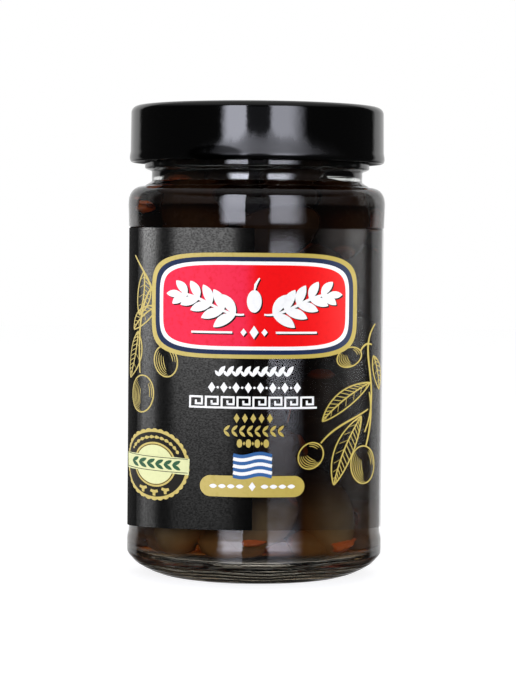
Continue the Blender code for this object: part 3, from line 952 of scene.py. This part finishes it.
def spot_on(start, angle, along, side):
    """The point `along` a direction from start, and `side` to its left."""
    return (
        start[0] + along * math.cos(angle) - side * math.sin(angle),
        start[1] + along * math.sin(angle) + side * math.cos(angle),
    )


def oval(centre, half_width, half_height, power=2.0, tilt=0.0):
    """The edge of an oval as a function of an angle. A high power squares it."""

    def edge(turn):
        x = math.copysign(abs(math.cos(turn)) ** (2.0 / power), math.cos(turn)) * half_width
        z = math.copysign(abs(math.sin(turn)) ** (2.0 / power), math.sin(turn)) * half_height
        return spot_on(centre, tilt, x, z)

    return edge


def round_ended(centre, half_width, half_height):
    """The edge of a bar with round ends."""

    def edge(turn):
        shift = math.copysign(half_width - half_height, math.cos(turn))
        return spot_on((centre[0] + shift, centre[1]), turn, half_height, 0.0)

    return edge


def scalloped(centre, radius, lobes, depth):
    """The edge of a round seal with small lobes."""

    def edge(turn):
        return spot_on(centre, turn, radius + depth * abs(math.sin(0.5 * lobes * turn)), 0.0)

    return edge


def star(centre, reach, waist):
    """The edge of a star with five points, the first one upright."""

    def edge(turn):
        long = round(turn / math.radians(36)) % 2 == 0
        return spot_on(centre, 0.5 * math.pi - turn, reach if long else waist, 0.0)

    return edge


def leaf(stalk, angle, length, width, curve=0.0):
    """The edge of a pointed leaf that grows from its stalk."""

    def edge(turn):
        along = 0.5 + 0.5 * math.cos(turn)
        half = 0.5 * width * math.sin(turn) * abs(math.sin(turn)) ** 0.7
        bow = 4.0 * curve * length * along * (1.0 - along)
        return spot_on(stalk, angle, along * length, half + bow)

    return edge


def arc_of(edge, start, end, steps):
    """Points along an edge between two angles in degrees."""
    return [edge(math.radians(start + (end - start) * k / steps)) for k in range(steps + 1)]


def curve_through(start, first, second, end, steps=14):
    """Points of a Bezier curve."""
    knots = map(Vector, (start, first, second, end))
    return [tuple(point) for point in interpolate_bezier(*knots, steps)]


def row(count, start, pitch):
    return [start + pitch * index for index in range(count)]


class Sheet:
    """The flat drawing of one ink. Each shape lies on a numbered layer."""

    def __init__(self):
        self.bm = bmesh.new()

    def fill(self, edge, layer, points=40):
        """A filled shape whose edge is a function of an angle."""
        ring = bmesh.ops.create_circle(self.bm, cap_ends=True, segments=points, radius=1.0)["verts"]
        face = ring[0].link_faces[0]
        for vert in ring:
            x, z = edge(math.atan2(vert.co.y, vert.co.x))
            vert.co = (x, -layer, z)
        face.normal_update()
        bmesh.ops.triangulate(self.bm, faces=[face])

    def lozenge(self, centre, half_width, half_height, layer):
        self.fill(oval(centre, half_width, half_height), layer, 4)

    def stroke(self, points, width, layer, ends=0.5):
        """A ribbon along points that thins towards its ends."""
        path = [Vector(point) for point in points]
        last = len(path) - 1
        edge = None
        for index, point in enumerate(path):
            along = (path[min(index + 1, last)] - path[max(index - 1, 0)]).normalized()
            thin = 1.0 + (ends - 1.0) * abs(2.0 * index / last - 1.0) ** 2
            side = 0.5 * width * thin * Vector((-along.y, along.x))
            places = [(spot.x, -layer, spot.y) for spot in (point + side, point - side)]
            if edge is None:
                pair = [self.bm.verts.new(place) for place in places]
                edge = self.bm.edges.new(pair)
                continue
            made = bmesh.ops.extrude_edge_only(self.bm, edges=[edge])["geom"]
            fresh = [item for item in made if isinstance(item, bmesh.types.BMVert)]
            if (fresh[0].co - pair[0].co).length > (fresh[1].co - pair[0].co).length:
                fresh.reverse()
            for vert, place in zip(fresh, places):
                vert.co = place
            pair = fresh
            edge = self.bm.edges.get(pair)

    def band(self, edge, width, layer, start=0, end=360, steps=60):
        """A ribbon along part of an edge."""
        self.stroke(arc_of(edge, start, end, steps), width, layer, 1.0)

    def bend(self, name, finish, slot):
        """Cuts the drawing into narrow upright bands and bends it round the label."""
        bm = self.bm
        reach = [vert.co.x for vert in bm.verts]
        for place in np.arange(math.ceil(min(reach)), max(reach), BEND_STEP):
            cut = {"plane_co": (place, 0.0, 0.0), "plane_no": (1.0, 0.0, 0.0), "dist": 1e-5}
            bmesh.ops.bisect_plane(bm, geom=bm.verts[:] + bm.edges[:] + bm.faces[:], **cut)
        limit = FRONT_REACH * LABEL_R
        for vert in bm.verts:
            across, layer, height = vert.co.x * MM, -vert.co.y, vert.co.z * MM
            front = max(-limit, min(limit, across))
            beyond = (across - front) / (LABEL_R * math.sqrt(1 - FRONT_REACH**2))
            vert.co = on_label(math.asin(front / LABEL_R) + beyond, height, LABEL_R + layer * INK)
        bm.normal_update()
        inward = [face for face in bm.faces if face.normal.xy.dot(face.calc_center_median().xy) < 0]
        bmesh.ops.reverse_faces(bm, faces=inward)
        bmesh.ops.solidify(bm, geom=bm.faces[:], thickness=0.9 * INK)
        smooth(add_piece(name, bm, [finish], slot))


def draw_plaque(sheets):
    """A round-cornered plaque with gold, navy and white bands and an olive garland on a red field."""
    half_width, half_height = PLAQUE_HALF
    for layer, (ink, inset) in enumerate(PLAQUE_BANDS, 1):
        edge = oval(PLAQUE_CENTRE, half_width - inset, half_height - inset, PLAQUE_POWER)
        sheets[ink].fill(edge, layer, 120)
    for ink, layer, shift in (("black", 5, GARLAND_SHADOW), ("white", 6, 0.0)):
        sheet = sheets[ink]
        left, low = PLAQUE_CENTRE[0] + shift, -shift
        sheet.fill(oval((left, 74.6 + low), 1.9, 2.9), layer, 30)
        stalk = [(left, 77.2 + low), (left + 0.3, 78.9 + low), (left + 1.3, 80.6 + low)]
        sheet.stroke(stalk, 0.7, layer)
        for side in (-1.0, 1.0):
            knots = ((2.6, 71.2), (8.0, 70.2), (15.0, 77.5), (20.2, 76.2))
            stem = curve_through(*((left + side * x, z + low) for x, z in knots), 24)
            sheet.stroke(stem, 0.75, layer, 0.6)
            for index, place in enumerate((3, 7, 11, 15, 19)):
                along = Vector(stem[place + 1]) - Vector(stem[place])
                heading = math.atan2(along.y, along.x)
                length, width = 6.6 - 0.5 * index, 2.7 - 0.12 * index
                for lean in (0.72, -0.72):
                    edge = leaf(stem[place], heading + side * lean, length, width, side * 0.05)
                    sheet.fill(edge, layer, 24)
            sheet.fill(leaf(stem[-3], 0.0 if side > 0 else math.pi, 4.0, 1.9), layer, 24)
            sheet.stroke([(left + side * x, 66.55 + low) for x in (5.6, 16.2)], 0.55, layer, 1.0)
            sheet.lozenge((left + side * 2.7, 66.6 + low), 0.8, 1.0, layer)
        sheet.lozenge((left, 66.6 + low), 1.15, 1.75, layer)


def draw_rows(sheets):
    """Rows of ornament under the plaque: white ones first, then gold."""
    white, gold = sheets["white"], sheets["gold"]
    for x in row(9, -9.3, 2.2):
        white.fill(leaf((x, LEAF_ROW), 1.05, 3.1, 1.25, 0.06), 3, 20)
        white.fill(leaf((x, LEAF_ROW), 2.2, 1.8, 0.8), 3, 20)
    for x in row(8, -11.2, 3.15):
        white.lozenge((x, DIAMOND_ROW), 0.95, 1.4, 3)
    for x in row(7, -9.62, 3.15):
        white.fill(oval((x, DIAMOND_ROW), 0.32, 0.32), 3, 12)
    key = ((0.0, 0.0), (0.0, 2.7), (3.1, 2.7), (3.1, 0.9), (1.5, 0.9), (1.5, 1.6))
    for x in row(8, -16.8, 4.1):
        turns = [Vector((x + across, KEY_ROW + up)) for across, up in key]
        for start, end in zip(turns, turns[1:]):
            along = (end - start).normalized() * 0.26
            white.stroke([start - along, end + along], 0.52, 3, 1.0)
        white.stroke([(x, KEY_ROW), (x + 4.1, KEY_ROW)], 0.52, 3, 1.0)
    for x in row(5, -4.7, 2.15):
        gold.lozenge((x, GOLD_DIAMOND_ROW), 0.75, 1.25, 1)
    for x in row(8, -8.0, 2.0):
        for lean in (0.75, -0.75):
            gold.fill(leaf((x, GOLD_LEAF_ROW), lean, 2.1, 0.8), 1, 16)
    for x in row(4, -3.9, 2.3):
        gold.fill(oval((x, GOLD_BEAD_ROW), 0.72, 1.1), 1, 20)
    for x in row(3, -2.75, 2.3):
        gold.lozenge((x, GOLD_BEAD_ROW), 0.3, 0.5, 1)


def draw_flag(sheets):
    """A waving flag of plain blue and white stripes."""
    columns = row(FLAG_STEPS + 1, FLAG_LEFT, FLAG_WIDTH / FLAG_STEPS)
    for stripe, height in enumerate(row(FLAG_STRIPES, FLAG_TOP, -FLAG_STRIPE)):
        points = [(x, height + 0.42 * math.sin(0.66 * x + 0.6)) for x in columns]
        sheets["white" if stripe % 2 else "flag"].stroke(points, FLAG_STRIPE + FLAG_OVERLAP, 3, 1.0)


def draw_pill(sheets):
    """A gold bar with round ends and a small white ornament on it."""
    sheets["gold"].fill(round_ended(PILL_CENTRE, *PILL_HALF), 1, 72)
    for heading in (math.pi, 0.0):
        for along in row(4, 2.2, 2.3):
            stalk = spot_on(PILL_CENTRE, heading, along, 0.0)
            sheets["white"].fill(leaf(stalk, heading, 2.0, 1.1), 3, 16)
    sheets["white"].lozenge(PILL_CENTRE, 0.9, 1.2, 3)


def draw_seal(sheets):
    """A scalloped gold seal: a dark ring with leaves and stars, and a ribbon across its middle."""
    x, z = SEAL_CENTRE
    gold, black, cream, green = (sheets[ink] for ink in ("gold", "black", "cream", "green"))
    gold.fill(scalloped(SEAL_CENTRE, SEAL_R, SEAL_LOBES, 0.35), 1, 8 * SEAL_LOBES)
    cream.fill(oval(SEAL_CENTRE, 5.1, 5.1), 2, 60)
    black.band(oval(SEAL_CENTRE, SEAL_RING_R, SEAL_RING_R), 2.6, 2)
    black.band(oval(SEAL_CENTRE, 5.3, 5.3), 0.18, 2)
    for degrees in row(11, 35, 11):
        turn = math.radians(degrees)
        place = spot_on(SEAL_CENTRE, turn, SEAL_RING_R, 0.0)
        gold.fill(leaf(place, turn - 0.5 * math.pi, 1.1, 0.9), 3, 12)
        gold.fill(leaf(place, turn + 0.5 * math.pi, 0.9, 0.6), 3, 12)
    for degrees in (-115, -90, -65):
        gold.fill(star(spot_on(SEAL_CENTRE, math.radians(degrees), SEAL_RING_R, 0.0), 1.1, 0.48), 3, 10)
    cream.stroke([(x - 9.4, z), (x - 4.0, z + 0.25), (x + 4.0, z + 0.25), (x + 9.4, z)], 4.3, 4, 1.0)
    for edge_z in (2.0, -1.6):
        black.stroke([(x - 9.0, z + edge_z), (x + 9.0, z + edge_z)], 0.16, 5, 1.0)
    for stalk_x in row(6, x - 6.6, 2.3):
        for lean in (0.5, -0.5):
            green.fill(leaf((stalk_x, z + 0.2), lean, 2.5, 1.0), 5, 16)


def engrave_leaf(sheet, stalk, angle, length, width, curve=0.0, shaded=1.0):
    """A leaf in line engraving: its edge, its rib and close hatching on one half."""
    edge = leaf(stalk, angle, length, width, curve)
    rib = leaf(stalk, angle, length, 0.0, curve)
    sheet.band(edge, LINE, 1, 0, 360, 36)
    sheet.stroke(arc_of(rib, 180, 0, 14), 1.1 * LINE, 1, 0.5)
    strokes = round(length / 0.85)
    for index in range(1, strokes):
        place = 180 - 180 * index / strokes
        towards = max(place - 14, 4)
        start, end = rib(math.radians(place)), edge(shaded * math.radians(towards))
        middle = [0.5 * (a + b) for a, b in zip(start, end)]
        sheet.stroke([start, middle, end], 0.62 * LINE, 1, 0.7)
        if index % 2:
            far = edge(-shaded * math.radians(towards))
            part = [a + 0.75 * (b - a) for a, b in zip(start, far)]
            sheet.stroke([start, part], 0.5 * LINE, 1, 0.7)


def engrave_olive(sheet, centre, half_width, half_height, tilt):
    """An olive in line engraving, shaded by arcs that follow its edge."""
    sheet.band(oval(centre, half_width, half_height, 2.0, tilt), LINE, 1, 0, 360, 40)
    arcs = round(half_width / 0.6)
    for index in range(1, arcs):
        share = 1.0 - index / arcs
        inner = oval(centre, half_width * share, half_height * (0.5 + 0.5 * share), 2.0, tilt)
        span = 78 - 34 * index / arcs
        sheet.stroke(arc_of(inner, 200 - span, 200 + span, 12), 0.6 * LINE, 1, 0.4)
        if index < 3:
            sheet.stroke(arc_of(inner, 20 - 0.4 * span, 20 + 0.4 * span, 8), 0.6 * LINE, 1, 0.4)


def draw_sprigs(sheets):
    """Olive sprigs at the two sides of the label."""
    gold = sheets["gold"]
    stems = (
        ((32.0, 68.5), (26.0, 62.0), (34.5, 52.0), (29.0, 40.0)),
        ((29.9, 46.0), (26.0, 43.5), (21.0, 42.5), (17.2, 37.8)),
        ((30.2, 50.5), (31.5, 46.0), (30.5, 40.0), (29.4, 36.3)),
        ((30.9, 63.0), (29.5, 63.8), (28.3, 63.0), (27.6, 61.4)),
        ((-32.6, 86.2), (-28.0, 80.0), (-24.5, 74.0), (-25.8, 64.0)),
        ((-27.3, 78.0), (-30.0, 74.0), (-31.5, 68.0), (-30.6, 55.0)),
        ((-25.8, 66.0), (-25.4, 64.6), (-24.6, 63.4), (-24.0, 62.3)),
    )
    for stem in stems:
        gold.stroke(curve_through(*stem, 18), 1.5 * LINE, 1, 0.7)
    for leaf_place in (
        ((30.4, 53.0), 3.78, 16.0, 4.4, -0.06, -1.0),
        ((28.0, 44.3), 4.32, 19.0, 5.0, -0.05, 1.0),
        ((31.5, 60.0), 5.0, 9.5, 3.4, 0.05, 1.0),
        ((-29.6, 81.8), 4.6, 11.5, 3.8, 0.06, 1.0),
        ((-26.0, 73.0), 3.9, 9.5, 3.6, -0.06, -1.0),
        ((-31.3, 66.0), 4.45, 13.0, 4.2, 0.05, -1.0),
    ):
        engrave_leaf(gold, *leaf_place)
    for olive_place in (
        ((24.6, 60.0), 3.4, 2.5, 0.35),
        ((14.6, 34.6), 3.6, 3.1, 0.9),
        ((28.7, 31.4), 3.4, 5.0, 0.1),
        ((-23.4, 58.6), 3.1, 4.1, 0.15),
        ((-30.0, 49.6), 3.3, 4.9, -0.1),
    ):
        engrave_olive(gold, *olive_place)


def build_print():
    settings = settings_of("jar_label")
    # The gold is paler to the left: partly the print's own change of tone, partly painted sheen.
    sheen_gold = tuple(channel + 0.06 for channel in settings.gold)
    inks = {
        "gold": (settings.gold, "gold_print", (sheen_gold, -14, 14)),
        "navy": (settings.navy, "blue_print", None),
        "flag": (settings.flag, "blue_print", None),
        "white": ((0.86, 0.865, 0.89), "white_print", None),
        "cream": (settings.cream, "white_print", None),
        # The red turns pink to the left of the film's split: painted sheen.
        "red": (settings.red, "red_print", ((0.80, 0.020, 0.066), -4.0, 1.0)),
        "black": ((0.012, 0.010, 0.008), "black_film", None),
        "green": ((0.03, 0.10, 0.05), "blue_print", None),
    }
    sheets = {name: Sheet() for name in inks}
    for draw in (draw_plaque, draw_rows, draw_flag, draw_pill, draw_seal, draw_sprigs):
        draw(sheets)
    for name, (ink, slot, painted_light) in inks.items():
        sheets[name].bend(f"print_{name}", print_finish(f"{name} ink", ink, painted_light), slot)


# Stage.


def light_only(lamp, names):
    """Lights only the pieces whose names start with one of these."""
    group = bpy.data.collections.new(f"{lamp.name} lights")
    for piece in bpy.data.objects:
        if piece.name.startswith(names):
            group.objects.link(piece)
    lamp.light_linking.receiver_collection = group


def add_panel_light(name, azimuths, heights, distance, radiance, names, glossy=True):
    """An upright rectangular lamp between two azimuths, in degrees from the jar's front."""
    low, high = map(math.radians, azimuths)
    data = bpy.data.lights.new(name, "AREA")
    data.shape = "RECTANGLE"
    data.size = 2 * distance * math.tan(0.5 * abs(high - low))
    data.size_y = heights[1] - heights[0]
    data.energy = radiance * math.pi * data.size * data.size_y
    lamp = linked(bpy.data.objects.new(name, data))
    lamp.location = on_label(0.5 * (low + high), 0.5 * sum(heights), distance)
    inward = Vector((-lamp.location.x, -lamp.location.y, 0.0))
    lamp.rotation_euler = inward.to_track_quat("-Z", "Y").to_euler()
    lamp.visible_glossy = glossy
    light_only(lamp, names)


def add_fading_panel(name, azimuths, radiance, names, kept=0.0):
    """A stack of lamps, each dimmer than the one above it down to the share that is kept."""
    for heights, share in FILM_LAMP_STEPS:
        place = [MM * height for height in heights]
        share = kept + (1.0 - kept) * share
        add_panel_light(f"{name} {heights[0]}", azimuths, place, 1.0, share * radiance, names)


def add_softbox(name, azimuths, heights, distance, radiance, edges, low_share):
    """A tall glowing screen that fades downwards and towards its two upright edges."""
    low, high = map(math.radians, azimuths)
    finish = Finish(name)
    across, up = finish.parts(finish.node("ShaderNodeTexCoord", output="UV"), "XY")
    fade = across.step(0.0, edges[0]) * across.step(1.0 - edges[1], 1.0, 1.0, 0.0)
    fade = fade * up.step(*STRIP_FADE_SHARES, low_share, 1.0)
    glow = finish.node("ShaderNodeEmission", None, {"Color": STRIP_COLOUR, "Strength": fade * radiance})
    bm = bmesh.new()
    bm.loops.layers.uv.new("UVMap")
    bmesh.ops.create_grid(bm, x_segments=6, y_segments=16, size=1.0, calc_uvs=True)
    half = distance * math.tan(0.5 * (high - low))
    size = Matrix.Diagonal((half, 0.5 * (heights[1] - heights[0]), 1.0, 1.0))
    turn = Matrix.Rotation(0.5 * (low + high), 4, "Z")
    stand = turn @ Matrix.Translation((0.0, -distance, 0.5 * sum(heights)))
    upright = Matrix.Rotation(0.5 * math.pi, 4, "X")
    bmesh.ops.transform(bm, matrix=stand @ upright @ size, verts=bm.verts)
    screen = add_mesh(name, bm, [finish.done(glow)])
    screen.visible_camera = False
    light_only(screen, ("glass", "brine", "olive", "twist", "floor"))


def build_world(settings):
    """White behind the jar, dim in front and below, as in a light tent that is open to the camera."""
    world = bpy.data.worlds.new("light tent")
    bpy.context.scene.world = world
    finish = Finish("light tent", world)
    way = finish.node("ShaderNodeTexCoord", output="Generated")
    x, y, z = finish.parts(way)
    level = (x * x + y * y).maths("SQRT") + 1e-4
    behind = (y / level + x * 0.02).step(0.62, 0.74) * z.step(-0.40, -0.06)
    dim = z.step(0.45, 0.9, 0.03, 0.5)
    strength = behind * settings.surround + (1.0 - behind) * dim
    seen = finish.node("ShaderNodeLightPath", output="Is Camera Ray")
    strength = strength * (1.0 - seen) + seen
    inputs = {"Color": finish.colour(WHITE), "Strength": strength}
    finish.done(finish.node("ShaderNodeBackground", None, inputs))


def build_floor():
    bm = bmesh.new()
    bmesh.ops.create_circle(bm, cap_ends=True, segments=96, radius=FLOOR_R)
    bmesh.ops.translate(bm, vec=(0.0, 0.0, -FLOOR_DROP), verts=bm.verts)
    finish = Finish("white floor")
    spot = finish.node("ShaderNodeTexCoord", output="Object")
    reach = finish.node("ShaderNodeVectorMath", {"operation": "LENGTH"}, {0: spot}, output="Value")
    # Painted shadow: the floor's glow is darker under the jar's foot.
    painted_light = reach.step(FOOT_OUTER_R - FLOOR_FADE, FOOT_OUTER_R + FLOOR_FADE)
    shader = finish.surface(
        Base_Color=(0.45, 0.45, 0.45),
        Roughness=0.9,
        Specular_IOR_Level=0.0,
        Emission_Color=finish.blend(painted_light, FLOOR_PAINTED_SHADOW, WHITE),
        Emission_Strength=0.80,
    )
    floor = add_mesh("floor", bm, [finish.done(shader)])
    floor.visible_glossy = False


def build_camera():
    data = bpy.data.cameras.new("camera")
    data.sensor_width = SENSOR
    data.lens = FOCAL_PIXELS * SENSOR / FRAME_HEIGHT
    data.clip_start, data.clip_end = 0.01, 20.0
    camera = linked(bpy.data.objects.new("camera", data))
    sideways = (0.5 * FRAME_WIDTH - AXIS_PIXEL_X) * METRES_PER_PIXEL
    camera.location = (sideways, -CAMERA_DISTANCE, EYE_HEIGHT)
    look = Matrix.Rotation(0.5 * math.pi - CAMERA_PITCH, 4, "X")
    camera.rotation_euler = (look @ Matrix.Rotation(CAMERA_ROLL, 4, "Z")).to_euler()
    bpy.context.scene.camera = camera


def build_stage():
    settings = settings_of("jar_studio")
    scene = bpy.context.scene
    scene.view_settings.view_transform = "Standard"
    scene.cycles.max_bounces = 24
    scene.cycles.transmission_bounces = 20
    scene.cycles.transparent_max_bounces = 32
    scene.cycles.caustics_refractive = False
    scene.cycles.caustics_reflective = False
    build_world(settings)
    build_floor()
    strip, film = settings.strip_radiance, ("film", "print")
    add_softbox("strip left", (-34, -9), (-0.30, 0.85), 1.2, 1.26 * strip, (0.36, 0.06), 0.08)
    add_softbox("strip right", (10, 46), (-0.30, 0.85), 1.2, 0.96 * strip, (0.12, 0.55), 0.05)
    add_softbox("room ahead", (-14, 14), (-0.30, 0.45), 1.3, 0.16, (0.2, 0.2), 1.0)
    add_fading_panel("film glow", (-78, -19), settings.film_radiance, film)
    add_fading_panel("film left", (-122, -100), settings.side_radiance, film, 0.2)
    add_fading_panel("film right", (62, 112), 0.95 * settings.side_radiance, film, 0.2)
    add_fading_panel("film right edge", (88, 112), 1.5 * settings.side_radiance, film, 0.85)
    key = settings.print_radiance
    add_panel_light("print key", (-55, 55), (-0.4, 0.9), 0.9, key, film, glossy=False)
    build_camera()


# Operators and panel.


class OLIVEJAR_OT_glass(bpy.types.Operator):
    """Model the clear glass jar"""

    bl_idname = "olivejar.glass"
    bl_label = "Glass"

    def execute(self, context):
        build_glass()
        return {"FINISHED"}


class OLIVEJAR_OT_brine(bpy.types.Operator):
    """Fill the jar with brine"""

    bl_idname = "olivejar.brine"
    bl_label = "Brine"

    def execute(self, context):
        build_brine()
        return {"FINISHED"}


class OLIVEJAR_OT_olives(bpy.types.Operator):
    """Model the heap of olives"""

    bl_idname = "olivejar.olives"
    bl_label = "Olives"

    def execute(self, context):
        build_olives()
        return {"FINISHED"}


class OLIVEJAR_OT_lid(bpy.types.Operator):
    """Model the lacquered twist-off lid"""

    bl_idname = "olivejar.lid"
    bl_label = "Lid"

    def execute(self, context):
        build_lid()
        return {"FINISHED"}


class OLIVEJAR_OT_label(bpy.types.Operator):
    """Bend the two halves of the label film round the jar"""

    bl_idname = "olivejar.label"
    bl_label = "Label film"

    def execute(self, context):
        build_label()
        return {"FINISHED"}


class OLIVEJAR_OT_print(bpy.types.Operator):
    """Draw the print and bend it round the label"""

    bl_idname = "olivejar.print"
    bl_label = "Print"

    def execute(self, context):
        build_print()
        return {"FINISHED"}


class OLIVEJAR_OT_stage(bpy.types.Operator):
    """Set the floor, the light and the camera"""

    bl_idname = "olivejar.stage"
    bl_label = "Stage"

    def execute(self, context):
        build_stage()
        return {"FINISHED"}


OPERATORS = (
    OLIVEJAR_OT_glass,
    OLIVEJAR_OT_brine,
    OLIVEJAR_OT_olives,
    OLIVEJAR_OT_lid,
    OLIVEJAR_OT_label,
    OLIVEJAR_OT_print,
    OLIVEJAR_OT_stage,
)


class OLIVEJAR_PT_sidebar(bpy.types.Panel):
    """Buttons for the pieces of the jar"""

    bl_label = "Jar of olives"
    bl_idname = "OLIVEJAR_PT_sidebar"
    bl_space_type = "VIEW_3D"
    bl_region_type = "UI"
    bl_category = "Jar"

    def draw(self, context):
        for operator in OPERATORS:
            self.layout.operator(operator.bl_idname)
        for name in SETTINGS:
            group = getattr(context.scene, name)
            box = self.layout.box()
            for key in type(group).__annotations__:
                box.prop(group, key)


SETTINGS = {
    "jar_glass": GlassSettings,
    "jar_olives": OliveSettings,
    "jar_lid": LidSettings,
    "jar_label": LabelSettings,
    "jar_studio": StudioSettings,
}


def register():
    for group in SETTINGS.values():
        bpy.utils.register_class(group)
    for name, group in SETTINGS.items():
        setattr(bpy.types.Scene, name, bpy.props.PointerProperty(type=group))
    for operator in (*OPERATORS, OLIVEJAR_PT_sidebar):
        bpy.utils.register_class(operator)


def unregister():
    for operator in (*OPERATORS, OLIVEJAR_PT_sidebar):
        bpy.utils.unregister_class(operator)
    for name in SETTINGS:
        delattr(bpy.types.Scene, name)
    for group in SETTINGS.values():
        bpy.utils.unregister_class(group)


def main():
    register()
    for operator in OPERATORS:
        group, name = operator.bl_idname.split(".")
        getattr(getattr(bpy.ops, group), name)()


if __name__ == "__main__":
    main()
